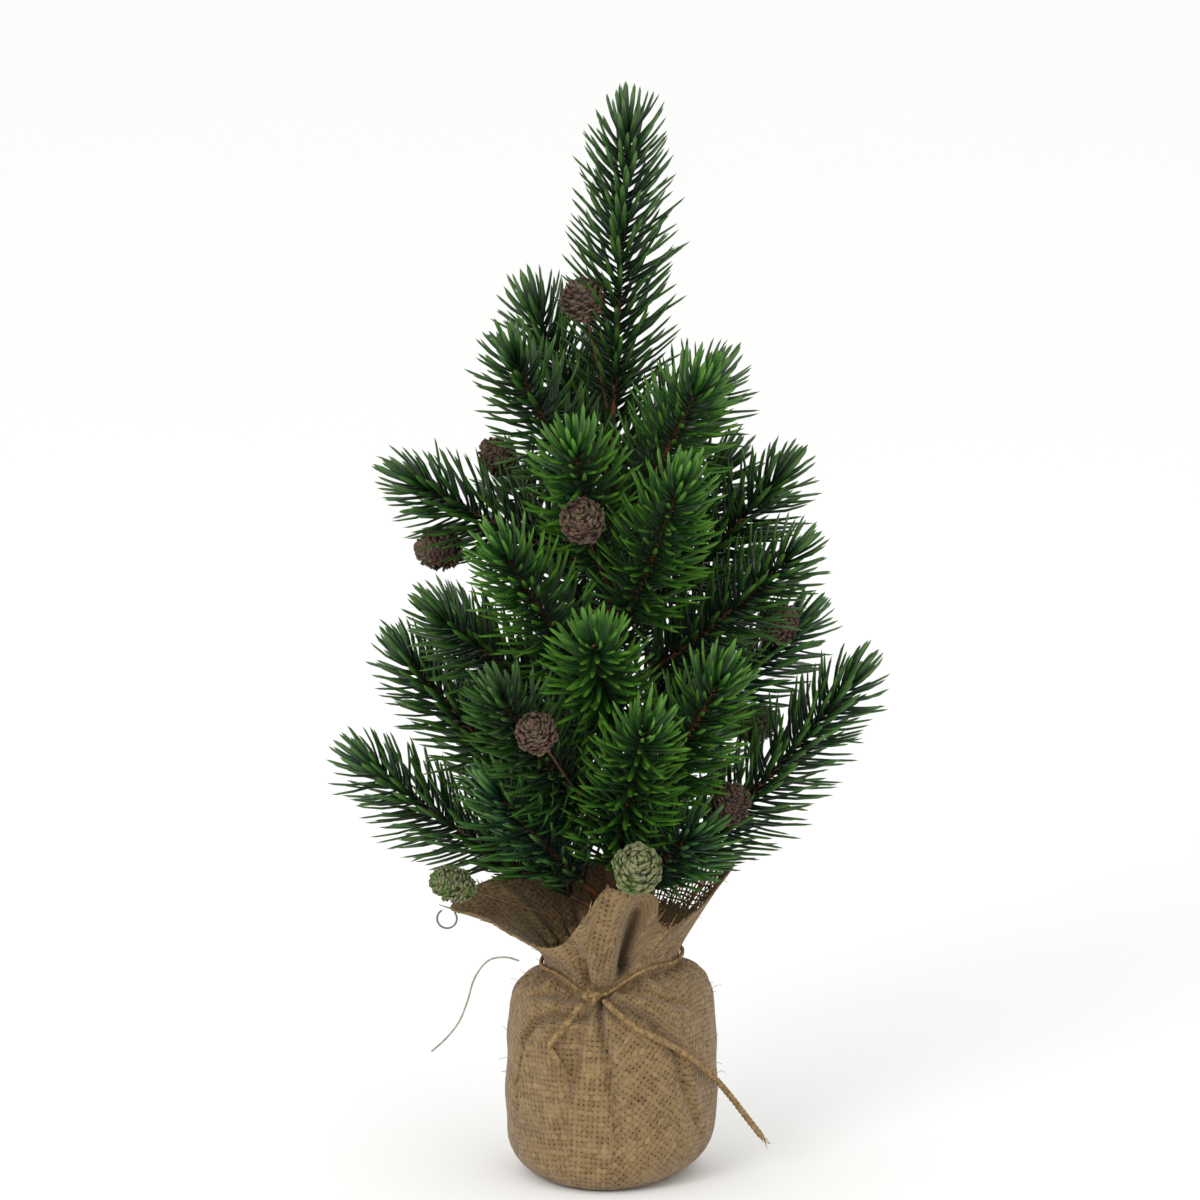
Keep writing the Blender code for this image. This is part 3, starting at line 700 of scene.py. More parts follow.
@dataclass
class Sprig:
    """One moulded sprig: needles set round a brown stem that curves up from the trunk."""

    number: int
    root_height: float
    azimuth: float
    root_lift: float
    tip_lift: float
    length: float
    tone: Tone = Tone.NORMAL
    first_needle: float = 0.012
    needle_step: float = 0.43 * MM
    stem_end: float = 0.010         # the stem stops this far before the arc's end

    @property
    def name(self) -> str:
        """Name shared with the CAD node."""
        return f"sprig_{self.number:02d}"

    @property
    def body(self) -> str:
        """Body that the sprig moves with."""
        return f"bough_{self.number:02d}"

    def root(self) -> Vector:
        """Return the point on the trunk where the sprig bends."""
        reach = trunk_radius(self.root_height) + ROOT_GAP
        return level(self.azimuth) * reach + Vector((0, 0, self.root_height))

    def at(self, along: float) -> tuple[Vector, Vector]:
        """Return the stem's point and direction at a distance from its root.

        Args:
            along: Distance along the stem.

        Returns:
            The point and the unit tangent.
        """
        start = math.radians(self.root_lift)
        turn = math.radians(self.tip_lift - self.root_lift) / self.length
        curved = min(along, self.length)
        end = start + turn * curved
        reach = (math.sin(end) - math.sin(start)) / turn
        rise = (math.cos(start) - math.cos(end)) / turn
        tangent = level(self.azimuth) * math.cos(end) + Vector((0, 0, math.sin(end)))
        point = self.root() + level(self.azimuth) * reach + Vector((0, 0, rise))
        return point + tangent * (along - curved), tangent

    def build(self, templates: list[bpy.types.Mesh], needle_material: bpy.types.Material,
              stem_material: bpy.types.Material) -> None:
        """Build the needles and the stem.

        Args:
            templates: Needle meshes of unit length, in several bends and tints.
            needle_material: Finish of the needles.
            stem_material: Finish of the stem.
        """
        rng = random.Random(1000 + self.number)
        needles = self.build_needles(templates, needle_material, rng)
        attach(needles, self.body)
        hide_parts(self.name)
        stem = self.build_stem(stem_material, rng)
        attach(stem, self.body)
        LOG.info("%s: %d needle faces", self.name, len(needles.data.polygons))

    def needle_length(self, share: float) -> float:
        """Return the needle length at a share of the way along the stem."""
        return (27.5 + 4.5 * math.sin(math.pi * min(1.0, share * 1.2)) - 5.0 * share) * MM

    def needle_lean(self, share: float, left: float) -> float:
        """Return the angle in degrees between a needle and the stem.

        Args:
            share: Share of the way along the stem.
            left: Distance to the stem's end.
        """
        spread = 65.0 - 9.0 * share
        return spread - max(0.0, 1.0 - left / (11 * MM)) ** 1.4 * (spread - 26.0)

    def build_needles(self, templates: list[bpy.types.Mesh], material: bpy.types.Material,
                      rng: random.Random) -> bpy.types.Object:
        """Set needles along the stem at the golden angle.

        Args:
            templates: Needle meshes of unit length.
            material: Finish of the needles.
            rng: The sprig's own random source.

        Returns:
            The needles as one piece.
        """
        form = bmesh.new()
        stop = self.length - self.stem_end
        count = round((stop - self.first_needle) / self.needle_step)
        roll = rng.uniform(0.0, math.tau)
        for i in range(count):
            share = i / (count - 1)
            point, tangent = self.at(self.first_needle + (stop - self.first_needle) * share)
            left = (1 - share) * (stop - self.first_needle)
            side = tangent.cross(Vector((0, 0, 1)))
            side = side.normalized() if side.length > 0.05 else Vector((1, 0, 0))
            turn = roll + i * GOLDEN_ANGLE + rng.uniform(-0.25, 0.25)
            radial = side * math.cos(turn) + side.cross(tangent) * math.sin(turn)
            lean = math.radians(self.needle_lean(share, left) + rng.uniform(-6.0, 6.0))
            forward = tangent * math.cos(lean) + radial * math.sin(lean)
            normal = radial * math.cos(lean) - tangent * math.sin(lean)
            length = self.needle_length(share) * rng.uniform(0.86, 1.08)
            length *= 1 - 0.22 * max(0.0, 1 - left / (11 * MM))
            # the needles that would hang into the collar lie short on its edge
            drop = point.z + forward.z * length - COLLAR_REST
            if drop < 0:
                length += drop / max(0.2, -forward.z) if forward.z < 0 else -length
            if length < SHORTEST_NEEDLE:
                continue
            width = rng.uniform(0.84, 1.10) * MM
            matrix = frame_from(normal.cross(forward), normal, forward,
                                point + radial * 0.5 * MM,
                                Vector((width, width, length)))
            stamp(form, templates[rng.randrange(len(templates))], matrix)
        return add_piece(self.name + "_needles", form, material)

    def build_stem(self, material: bpy.types.Material,
                   rng: random.Random) -> bpy.types.Object:
        """Build the brown stem, thicker at its foot and knobbly where needles join it."""
        points = []
        radii = []
        steps = 48
        stop = self.length - self.stem_end
        for step in range(steps + 1):
            along = stop * step / steps
            points.append(self.at(along)[0])
            radii.append((1.35 - 0.6 * step / steps + rng.uniform(-0.08, 0.08)) * MM)
        return add_strands(self.name + "_stem", [(points, radii)], material)


@dataclass
class Leader(Sprig):
    """The upright top sprig, which leans a little to the right."""

    lean: float = 3.0

    @property
    def name(self) -> str:
        """Name shared with the CAD node."""
        return "leader_sprig"

    @property
    def body(self) -> str:
        """Body that the leader moves with."""
        return "leader_bough"

    def root(self) -> Vector:
        """Return the point above the trunk where the leader bends."""
        return Vector((0, 0, TRUNK_TOP + ROOT_GAP))

    def at(self, along: float) -> tuple[Vector, Vector]:
        """Return the stem's point and direction at a distance from its root."""
        angle = math.radians(self.lean)
        tangent = Vector((math.sin(angle), 0, math.cos(angle)))
        return self.root() + tangent * along, tangent


@dataclass(frozen=True)
class NeedleTemplates:
    """Unit needles: flattened, tapered and slightly bent back, in several tints."""

    bends: tuple[float, ...] = (-0.09, -0.14, -0.19)
    tints: tuple[float, ...] = (0.15, 0.5, 0.85)
    flatness: float = 0.62
    sides: int = 6
    profile: tuple[tuple[float, float], ...] = (
        (0.0, 0.0), (0.66, 0.02), (0.92, 0.25), (1.0, 0.62), (0.72, 0.90), (0.0, 1.0))

    def build(self, unit: float) -> list[bpy.types.Mesh]:
        """Build every bend in every tint.

        Args:
            unit: Needle length over half its width, which sizes the bend.

        Returns:
            The template meshes.
        """
        templates = []
        for bend in self.bends:
            for tint in self.tints:
                form = turned_template(list(self.profile), self.sides)
                for vert in form.verts:
                    vert.co.y = vert.co.y * self.flatness + bend * unit * vert.co.z ** 2
                layer = form.loops.layers.uv["along"]
                for face in form.faces:
                    for loop in face.loops:
                        loop[layer].uv.x = tint
                templates.append(saved_template("needle_template", form))
        return templates


# the sprigs that face the front take the fresh tone, which is partly painted light
SPRIGS = (
    Sprig(1, 0.292, 145, 55, 70, 0.078),
    Sprig(2, 0.276, -140, 48, 62, 0.090),
    Sprig(3, 0.284, 30, 34, 52, 0.066),
    Sprig(4, 0.266, -46, 50, 62, 0.088, Tone.FRESH_LIT),
    Sprig(5, 0.240, -105, 55, 48, 0.098, Tone.FRESH_LIT),
    Sprig(6, 0.250, -176, 20, 32, 0.092),
    Sprig(7, 0.222, -66, 46, 56, 0.105, Tone.FRESH_LIT),
    Sprig(8, 0.240, 38, 34, 48, 0.078),
    Sprig(9, 0.226, 8, 36, 52, 0.096),
    Sprig(10, 0.200, -14, 34, 48, 0.100),
    Sprig(11, 0.170, 18, 28, 42, 0.100, Tone.DEEP),
    Sprig(12, 0.196, -130, 46, 52, 0.103, Tone.FRESH_LIT),
    Sprig(13, 0.188, -162, 28, 42, 0.090),
    Sprig(14, 0.138, -178, 36, 54, 0.118),
    Sprig(15, 0.108, 176, 26, 40, 0.120),
    Sprig(16, 0.142, -128, 42, 48, 0.105),
    Sprig(17, 0.168, -96, 56, 30, 0.103, Tone.FRESH_LIT),
    Sprig(18, 0.118, -80, 60, 36, 0.116, Tone.FRESH_LIT),
    Sprig(19, 0.142, -48, 46, 56, 0.103, Tone.FRESH_LIT),
    Sprig(20, 0.108, -2, 40, 54, 0.142),
    Sprig(21, 0.112, -46, 42, 40, 0.064, Tone.DEEP),
    Sprig(22, 0.114, -150, 42, 50, 0.078, Tone.DEEP),
    Sprig(23, 0.268, 95, 46, 62, 0.084),
    Sprig(24, 0.232, 70, 38, 52, 0.088),
    Sprig(25, 0.222, 128, 36, 52, 0.092),
    Sprig(26, 0.198, 88, 36, 50, 0.098),
    Sprig(27, 0.176, 48, 34, 48, 0.100),
    Sprig(28, 0.164, 150, 32, 46, 0.100),
    Sprig(29, 0.136, 104, 34, 48, 0.112),
    Sprig(30, 0.120, 58, 34, 50, 0.118),
    Sprig(31, 0.110, 134, 32, 46, 0.112),
)
LEADER = Leader(0, TRUNK_TOP, 0, 87, 87, 0.1355)


# ------------------------------------------------------------------ cones


class ConeKind(Enum):
    """The two finishes that the small cones come in."""

    BROWN = ConeFinish("dried_cone_brown", gap="#120a08", scale="#332019", lip="#5c4535",
                       dust="#625a40", bloom="#3a211c", dust_share=0.40)
    GREEN = ConeFinish("dried_cone_lichen", gap="#1c200e", scale="#4c5530", lip="#7b8058",
                       dust="#6e6a4c", bloom="#48661f", dust_share=0.55)


@dataclass
class Cone:
    """One small cone on its wire stalk, bound to a sprig's bare stem or to the trunk."""

    number: int
    host: Sprig | None              # None is the trunk
    centre: tuple[float, float, float]
    width: float
    length: float
    kind: ConeKind
    stalk_height: float = 0.0       # where a stalk on the trunk starts
    scales: int = 340

    @property
    def name(self) -> str:
        """Name shared with the CAD node."""
        return f"cone_{self.number:02d}"

    def start(self) -> Vector:
        """Return the point where the stalk leaves its host."""
        centre = Vector(self.centre)
        beside = STEM_RADIUS + STALK_RADIUS + CLEARANCE
        if self.host is None:
            side = Vector((centre.x, centre.y, 0)).normalized()
            reach = trunk_radius(self.stalk_height) + STALK_RADIUS + CLEARANCE
            return side * reach + Vector((0, 0, self.stalk_height))
        if isinstance(self.host, Leader):
            side = Vector((centre.x, centre.y, 0)).normalized()
            return self.host.root() + Vector((0, 0, STALK_START)) + side * beside
        stem_point = self.host.at(STALK_START)[0]
        along = (stem_point - self.host.root()).normalized()
        towards = centre - stem_point
        side = (towards - along * towards.dot(along)).normalized()
        return stem_point + side * beside

    def build(self, templates: list[bpy.types.Mesh], cone_material: bpy.types.Material,
              wire_material: bpy.types.Material) -> None:
        """Build the cone and its stalk.

        Args:
            templates: Scale meshes of unit size, in several tints.
            cone_material: Finish of the scales.
            wire_material: Finish of the stalk.
        """
        rng = random.Random(2000 + self.number)
        body = self.host.body if self.host else "base"
        cone = self.build_scales(templates, cone_material, rng)
        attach(cone, body)
        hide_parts(self.name)
        stalk = self.build_stalk(wire_material, rng)
        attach(stalk, body)
        LOG.info("%s: %d scales", self.name, self.scales)

    def build_scales(self, templates: list[bpy.types.Mesh], material: bpy.types.Material,
                     rng: random.Random) -> bpy.types.Object:
        """Cover an egg-shaped core with overlapping scales at the golden angle."""
        centre = Vector(self.centre)
        axis = (centre - self.start()).normalized()
        side = axis.orthogonal().normalized()
        across = axis.cross(side)
        form = bmesh.new()
        bmesh.ops.create_icosphere(form, subdivisions=3, radius=1.0)
        layer = form.loops.layers.uv.new("along")
        core = frame_from(side, across, axis, centre,
                          Vector((self.width * 0.42, self.width * 0.42, self.length * 0.44)))
        bmesh.ops.transform(form, matrix=core, verts=form.verts)
        # the core between the scales takes the gap colour, which is painted shade
        for face in form.faces:
            for loop in face.loops:
                loop[layer].uv = (0.5, 0.05)
        for i in range(self.scales):
            height = 1 - 2 * (i + 0.5) / self.scales
            ring = math.sqrt(1 - height * height)
            turn = i * GOLDEN_ANGLE + rng.uniform(-0.22, 0.22)
            level_out = side * math.cos(turn) + across * math.sin(turn)
            place = (centre + level_out * ring * self.width * 0.40
                     + axis * height * self.length * 0.42)
            normal = (level_out * ring / self.width + axis * height / self.length).normalized()
            upward = (axis - normal * axis.dot(normal))
            upward = upward.normalized() if upward.length > 0.05 else side
            lift = rng.uniform(0.1, 1.5)
            forward = (upward * math.cos(lift) + normal * math.sin(lift)).normalized()
            thin = (normal - forward * normal.dot(forward)).normalized()
            size = self.width * rng.uniform(0.68, 1.12)
            matrix = frame_from(forward.cross(thin), thin, forward, place,
                                Vector((size * 0.072, size * 0.030, size * 0.145)))
            stamp(form, templates[rng.randrange(len(templates))], matrix)
        return add_piece(self.name + "_scales", form, material)

    def build_stalk(self, material: bpy.types.Material,
                    rng: random.Random) -> bpy.types.Object:
        """Build the thin wire stalk, a little kinked by hand, up to the cone's foot."""
        start = self.start()
        centre = Vector(self.centre)
        axis = (centre - start).normalized()
        foot = centre - axis * self.length * 0.40
        side = axis.orthogonal().normalized()
        steps = 12
        points = []
        for step in range(steps + 1):
            share = step / steps
            kink = side * math.sin(math.pi * share) * rng.uniform(0.1, 0.35) * MM
            points.append(start.lerp(foot, share) + kink)
        return add_strands(self.name + "_stalk", [(points, [0.5 * MM] * len(points))], material)


@dataclass(frozen=True)
class ScaleTemplates:
    """Unit cone scales: blunt, domed and pinched at the foot, in several tints."""

    tints: tuple[float, ...] = (0.1, 0.4, 0.7, 0.95)
    sides: int = 6
    profile: tuple[tuple[float, float], ...] = (
        (0.0, -0.25), (0.55, 0.0), (1.0, 0.5), (0.95, 0.8), (0.5, 0.98), (0.0, 1.0))

    def build(self) -> list[bpy.types.Mesh]:
        """Build a scale in every tint."""
        templates = []
        for tint in self.tints:
            form = turned_template(list(self.profile), self.sides)
            layer = form.loops.layers.uv["along"]
            for face in form.faces:
                for loop in face.loops:
                    loop[layer].uv.x = tint
            templates.append(saved_template("scale_template", form))
        return templates


CONES = (
    Cone(1, LEADER, (-0.0117, -0.008, 0.360), 0.018, 0.0165, ConeKind.BROWN),
    Cone(2, SPRIGS[5], (-0.046, 0.010, 0.2925), 0.014, 0.017, ConeKind.BROWN),
    Cone(3, SPRIGS[4], (-0.0117, -0.055, 0.2797), 0.0175, 0.020, ConeKind.BROWN),
    Cone(4, SPRIGS[5], (-0.069, -0.005, 0.258), 0.017, 0.020, ConeKind.BROWN),
    Cone(5, SPRIGS[15], (-0.030, -0.0655, 0.1958), 0.0165, 0.0165, ConeKind.BROWN),
    Cone(6, SPRIGS[10], (0.0667, 0.006, 0.2247), 0.016, 0.018, ConeKind.BROWN),
    Cone(7, SPRIGS[10], (0.058, 0.016, 0.1816), 0.016, 0.019, ConeKind.GREEN),
    Cone(8, SPRIGS[19], (0.0466, -0.020, 0.1563), 0.0175, 0.018, ConeKind.BROWN),
    Cone(9, None, (0.010, -0.055, 0.1379), 0.020, 0.021, ConeKind.GREEN, 0.098),
    Cone(10, None, (-0.064, -0.025, 0.1245), 0.0145, 0.020, ConeKind.GREEN, 0.100),
    Cone(11, SPRIGS[25], (0.014, 0.058, 0.222), 0.017, 0.019, ConeKind.BROWN),
    Cone(12, SPRIGS[30], (-0.040, 0.052, 0.184), 0.017, 0.019, ConeKind.BROWN),
)


# ------------------------------------------------------------------ bag and collar

BAG_RADIUS = 0.043
BAG_SHOULDER = 0.018
NECK_RADIUS = 0.0275
NECK_HEIGHT = 0.0885
NECK_TILT = 0.002
NECK_DIP = 0.0085
NECK_DIP_SPREAD = 28.0
TWINE_RADIUS = 0.0014
POT_RIM_HEIGHT = 0.054          # top of the thin pot inside the bag
BAND_RADIUS = NECK_RADIUS + TWINE_RADIUS + 3 * CLEARANCE
KNOT_AZIMUTH = -104.0


def tie_height(azimuth: float) -> float:
    """Return the height of the tie at an azimuth: it sinks round the knot."""
    away = (azimuth - KNOT_AZIMUTH + 180) % 360 - 180
    dip = NECK_DIP * math.exp(-(away / NECK_DIP_SPREAD) ** 2)
    return NECK_HEIGHT + NECK_TILT * math.cos(math.radians(azimuth)) - dip


def periodic_curve(keys: tuple, azimuth: float) -> Vector:
    """Read a smooth closed curve that is given at some azimuths.

    Args:
        keys: Rows of azimuth and x, y, z in millimetres, by rising azimuth.
        azimuth: Where to read it, in degrees.

    Returns:
        The point, in metres.
    """
    count = len(keys)
    turned = (azimuth - keys[0][0]) % 360 + keys[0][0]
    after = next((i for i in range(count) if keys[i][0] > turned), count)
    spots = [(after - 2) % count, (after - 1) % count, after % count, (after + 1) % count]
    places = [Vector(keys[i][1:]) for i in spots]
    span = (keys[spots[2]][0] - keys[spots[1]][0]) % 360
    before_span = (keys[spots[1]][0] - keys[spots[0]][0]) % 360
    after_span = (keys[spots[3]][0] - keys[spots[2]][0]) % 360
    t = ((turned - keys[spots[1]][0]) % 360) / span
    # slopes by the azimuth gaps, so a short gap beside a long one doesn't overshoot
    start_slope = (places[2] - places[0]) / (span + before_span) * span
    end_slope = (places[3] - places[1]) / (span + after_span) * span
    t2, t3 = t * t, t * t * t
    point = (places[1] * (2 * t3 - 3 * t2 + 1) + start_slope * (t3 - 2 * t2 + t)
             + places[2] * (3 * t2 - 2 * t3) + end_slope * (t3 - t2))
    return point * MM


@dataclass(frozen=True)
class Fold:
    """One pleat in the bag's wall: a groove that fans out from the tie, with a lip."""

    route: tuple[tuple[float, float], ...]      # azimuth in degrees, height in millimetres
    depth_mm: float
    width_mm: float
    lip_mm: float
    lip_side: int = 1               # 1 puts the lip towards higher azimuths

    def relief(self, azimuth: float, height: float) -> float:
        """Return how far the cloth stands out at a place, in metres.

        Args:
            azimuth: Degrees.
            height: Metres.
        """
        x, y = azimuth, height / MM
        scale = math.radians(1) * BAG_RADIUS / MM
        total = sum(math.dist((a[0] * scale, a[1]), (b[0] * scale, b[1]))
                    for a, b in zip(self.route, self.route[1:]))
        best = (1e9, 0.0, 0.0)
        walked = 0.0
        for a, b in zip(self.route, self.route[1:]):
            # the azimuth is turned to lie within half a turn of this stretch
            px = ((x - a[0] + 180) % 360 - 180) * scale
            py = y - a[1]
            dx, dy = (b[0] - a[0]) * scale, b[1] - a[1]
            length = math.hypot(dx, dy)
            t = max(0.0, min(1.0, (px * dx + py * dy) / length ** 2))
            gap = math.hypot(px - dx * t, py - dy * t)
            if gap < best[0]:
                sign = 1.0 if dx * py - dy * px > 0 else -1.0
                best = (gap, sign, (walked + t * length) / total)
            walked += length
        gap, sign, share = best
        if gap > 5 * self.width_mm:
            return 0.0
        fade = max(0.0, 1 - share) ** 0.6 * min(1.0, share * 8 + 0.5)
        offset = gap * sign * self.lip_side
        groove = math.exp(-(offset / self.width_mm) ** 2)
        lip = math.exp(-((offset - 1.7 * self.width_mm) / (1.25 * self.width_mm)) ** 2)
        return (self.lip_mm * lip - self.depth_mm * groove) * fade * MM


@dataclass(frozen=True)
class CollarCrease:
    """A crease that runs up the collar from the tie, with one side lapped over it."""

    foot: float                     # azimuth in degrees at the tie
    head: float                     # azimuth in degrees at the rim
    groove_mm: float
    lap_mm: float
    width: float                    # degrees
    lap_side: int = 1               # 1 laps the side at the higher azimuths
    at_rim: float = 0.35            # share of its depth that it keeps at the rim

    def relief(self, azimuth: float, share: float) -> float:
        """Return how far the cloth stands out at a share of the way up, in metres."""
        line = self.foot + (self.head - self.foot) * share
        away = ((azimuth - line + 180) % 360 - 180) * self.lap_side / self.width
        if abs(away) > 6:
            return 0.0
        groove = math.exp(-away * away)
        lap = math.exp(-((away - 1.6) / 1.6) ** 2)
        fade = min(1.0, share * 5 + 0.3) * min(1.0, (1 - share) * 4 + self.at_rim)
        return (self.lap_mm * lap - self.groove_mm * groove) * fade * MM


@dataclass(frozen=True)
class Panel:
    """A stretch of the bag's wall between two pleats, whose threads lie at one angle."""

    start: float                    # azimuths in degrees, the end above the start
    end: float
    thread_angle: float


@dataclass
class BurlapBag:
    """The square of hessian gathered round the weight and tied into a flared collar."""

    columns: int = 350
    wall_rows: int = 38
    shoulder_rows: int = 26
    neck_rows: int = 4
    collar_rows: int = 34
    corner: float = 0.017
    bulge: float = 1.3 * MM
    puff: float = 1.0 * MM
    thickness: float = 0.8 * MM
    gathers: int = 26
    open_span: tuple[float, float] = (2.0, 60.0)        # azimuths of the loose weave
    open_from: float = 0.42                             # share of the way to the rim
    rim: tuple = (
        (-180, -65.5, -6, 110), (-162, -54, -15, 109), (-148, -45.5, -20, 105.5),
        (-136, -36.5, -25, 101), (-127, -28.5, -30, 99), (-121, -21.5, -33.5, 100.5),
        (-116, -15, -36.5, 107), (-110, -8.0, -38, 117), (-104, -2.5, -38, 125.5),
        (-98, 4, -37.5, 124.5), (-92, 10, -34, 123), (-87, 15, -29, 121.5),
        (-82, 18.5, -25, 118), (-77, 18.5, -22.5, 111), (-72, 19.5, -22, 107.5),
        (-62, 25, -22.5, 106.5), (-50, 31, -20, 110), (-37, 36.5, -15, 113),
        (-25, 42.5, -9.5, 118.5), (-13, 49, -1, 126), (4, 47, 12, 123.5),
        (25, 40, 25, 121.5), (45, 31, 35, 122),
        (65, 18, 41.5, 124), (85, 3, 42, 121), (105, -11, 40, 119), (120, -20, 33, 118.5),
        (135, -30, 26, 119.5), (150, -44, 16, 119), (165, -57, 5, 116))
    folds: tuple = (
        Fold(((-98, 78), (-96, 70), (-93, 60), (-91, 50), (-89, 38), (-86, 24), (-88, 10)),
             5.0, 1.9, 2.2, 1),
        Fold(((-107, 74), (-116, 73), (-127, 72.5), (-138, 68), (-146, 61), (-150, 50),
              (-153, 40), (-150, 25)), 6.2, 2.1, 3.0, 1),
        Fold(((-105, 74), (-109, 64), (-110, 57), (-114, 44), (-115, 37), (-122, 16)),
             3.0, 2.0, 1.4, -1),
        Fold(((-92, 78), (-80, 77), (-69, 72), (-60, 65), (-51, 57), (-48, 45), (-43, 35),
              (-35, 24), (-28, 17)), 5.6, 2.0, 2.6, 1),
        Fold(((-84, 83), (-67, 83.5), (-58, 81), (-47, 77), (-33, 73), (-22, 66)),
             5.4, 2.0, 2.4, -1),
        Fold(((-150, 80), (-140, 81.5), (-124, 80), (-112, 77)), 4.4, 1.9, 2.0, 1),
        Fold(((-96, 80), (-86, 74.5), (-76, 69), (-59, 61.5), (-43, 53), (-27, 43),
              (-16, 36)), 1.3, 2.6, 0.0, 1),
        Fold(((12, 82), (14, 70), (8, 52), (12, 30)), 2.8, 2.3, 1.3, 1),
        Fold(((48, 86), (44, 72), (52, 56), (50, 36), (56, 22)), 3.1, 2.3, 1.5, -1),
        Fold(((80, 90), (84, 76), (79, 58), (84, 34), (82, 18)), 2.9, 2.2, 1.4, 1),
        Fold(((112, 90), (118, 75), (112, 60), (120, 40)), 3.0, 2.3, 1.5, -1),
        Fold(((146, 86), (150, 72), (143, 55), (148, 30), (144, 18)), 3.0, 2.2, 1.4, 1),
        Fold(((176, 84), (172, 70), (180, 54), (176, 34)), 2.6, 2.2, 1.2, -1))
    creases: tuple = (
        CollarCrease(-107, -120, 4.5, 4.0, 3.4, 1, 0.9),
        CollarCrease(-79, -91, 15.0, 1.5, 5.0, -1, 0.0),
        CollarCrease(-60, -58, 1.4, 0.8, 3.0, 1), CollarCrease(-128, -140, 1.4, 1.0, 3.0, -1),
        CollarCrease(-150, -166, 1.4, 0.8, 3.0, 1), CollarCrease(24, 18, 1.8, 1.0, 3.5, 1),
        CollarCrease(70, 74, 2.2, 1.2, 3.5, -1), CollarCrease(112, 106, 2.0, 1.2, 3.5, 1),
        CollarCrease(150, 156, 1.8, 1.0, 3.5, -1))
    panels: tuple = (
        Panel(-180, -152, 14), Panel(-152, -114, -9), Panel(-114, -90, 3),
        Panel(-90, -46, 42), Panel(-46, 12, 8), Panel(12, 48, -20), Panel(48, 82, 30),
        Panel(82, 116, -6), Panel(116, 147, 34), Panel(147, 180, -14))

    def build(self, cloth_material: bpy.types.Material,
              jute_material: bpy.types.Material) -> None:
        """Build the cloth, the loose weave in its collar and its frayed edge.

        Args:
            cloth_material: Finish of the woven cloth.
            jute_material: Finish of single yarns.
        """
        cloth = self.build_cloth(cloth_material)
        weave = self.build_loose_weave(jute_material)
        fringe = self.build_fringe(jute_material)
        for piece in (cloth, weave, fringe):
            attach(piece, "base")
            LOG.info("%s: made", piece.name)
        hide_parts("burlap_wrap")

    def section_rows(self) -> list[tuple[str, float]]:
        """Return the rows of one column: each part's name and the share along it."""
        rows = [("floor", step / 5) for step in range(1, 6)]
        rows += [("corner", step / 8) for step in range(1, 9)]
        rows += [("wall", step / self.wall_rows) for step in range(1, self.wall_rows + 1)]
        rows += [("shoulder", step / self.shoulder_rows)
                 for step in range(1, self.shoulder_rows + 1)]
        rows += [("neck", step / self.neck_rows) for step in range(1, self.neck_rows + 1)]
        rows += [("collar", step / self.collar_rows)
                 for step in range(1, self.collar_rows + 1)]
        return rows

    def corner_at(self, azimuth: float) -> float:
        """Return the rounding of the bottom edge, which is larger at the right."""
        right = max(0.0, math.cos(math.radians(azimuth + 15)))
        front = max(0.0, math.cos(math.radians(azimuth + 100)))
        return self.corner + (5.5 * right ** 3 - 7.5 * front ** 4) * MM

    def gather(self, azimuth: float) -> float:
        """Return the gathered cloth's wave at an azimuth, from -1 to 0."""
        angle = math.radians(azimuth)
        wander = 1.3 * math.sin(3 * angle + 0.7) + 0.8 * math.sin(5 * angle + 2.1)
        return -0.5 - 0.5 * math.cos(self.gathers * angle + wander)

    def wall_point(self, azimuth: float, part: str, share: float) -> Vector:
        """Return the cloth's outer face below the collar.

        Args:
            azimuth: Degrees.
            part: Which stretch of the section it is on.
            share: Share of the way along that stretch.

        Returns:
            The point.
        """
        tie = tie_height(azimuth)
        half_band = TWINE_RADIUS + CLEARANCE
        corner = self.corner_at(azimuth)
        shoulder_foot = tie - BAG_SHOULDER
        normal = (1.0, 0.0)
        weight = 1.0
        if part == "floor":
            radius, height = (BAG_RADIUS - corner) * share, 0.0
            weight = 0.0
        elif part == "corner":
            turn = math.radians(90 * share)
            radius = BAG_RADIUS - corner * (1 - math.sin(turn))
            height = corner * (1 - math.cos(turn))
            normal = (math.sin(turn), 0.0)
            weight = math.sin(turn) ** 2
        elif part == "wall":
            radius = BAG_RADIUS
            height = corner + (shoulder_foot - corner) * share
        elif part == "shoulder":
            turn = math.radians(90 * share)
            radius = NECK_RADIUS + (BAG_RADIUS - NECK_RADIUS) * math.cos(turn)
            height = shoulder_foot + (BAG_SHOULDER - half_band) * math.sin(turn)
            normal = (math.cos(turn) * 0.6 + 0.4, math.sin(turn) * 0.8)
        else:
            radius = NECK_RADIUS
            height = tie - half_band + 2 * half_band * share
            weight = 0.0
        relief = 0.0
        if weight > 0:
            relief = sum(fold.relief(azimuth, height) for fold in self.folds)
            spot = level(azimuth) * 1.1 + Vector((0, 0, height / (22 * MM)))
            relief += noise.noise(spot * 1.6) * 0.8 * MM - 0.3 * MM
            relief += self.puff * max(0.0, math.cos(math.radians(azimuth + 100)))
            relief -= self.bulge * ((height - 0.036) / 0.033) ** 2
            # the cloth can't sink into the pot inside it, which narrows downwards
            above = height - POT_RIM_HEIGHT
            relief = max(relief, -1.8 * MM - (above if above > 0 else -0.2 * above)) * weight
        near_tie = max(0.0, 1 - (tie - height) / (17 * MM)) if part != "neck" else 1.0
        if part in ("wall", "shoulder"):
            relief += (self.gather(azimuth) + 0.35) * 2.2 * MM * near_tie ** 1.6
        elif part == "neck":
            relief += self.gather(azimuth) * 0.6 * MM
        point = level(azimuth) * (radius + relief * normal[0])
        return point + Vector((0, 0, height + relief * normal[1]))

    def rim_point(self, azimuth: float) -> Vector:
        """Return the collar's edge at an azimuth."""
        return periodic_curve(self.rim, azimuth)

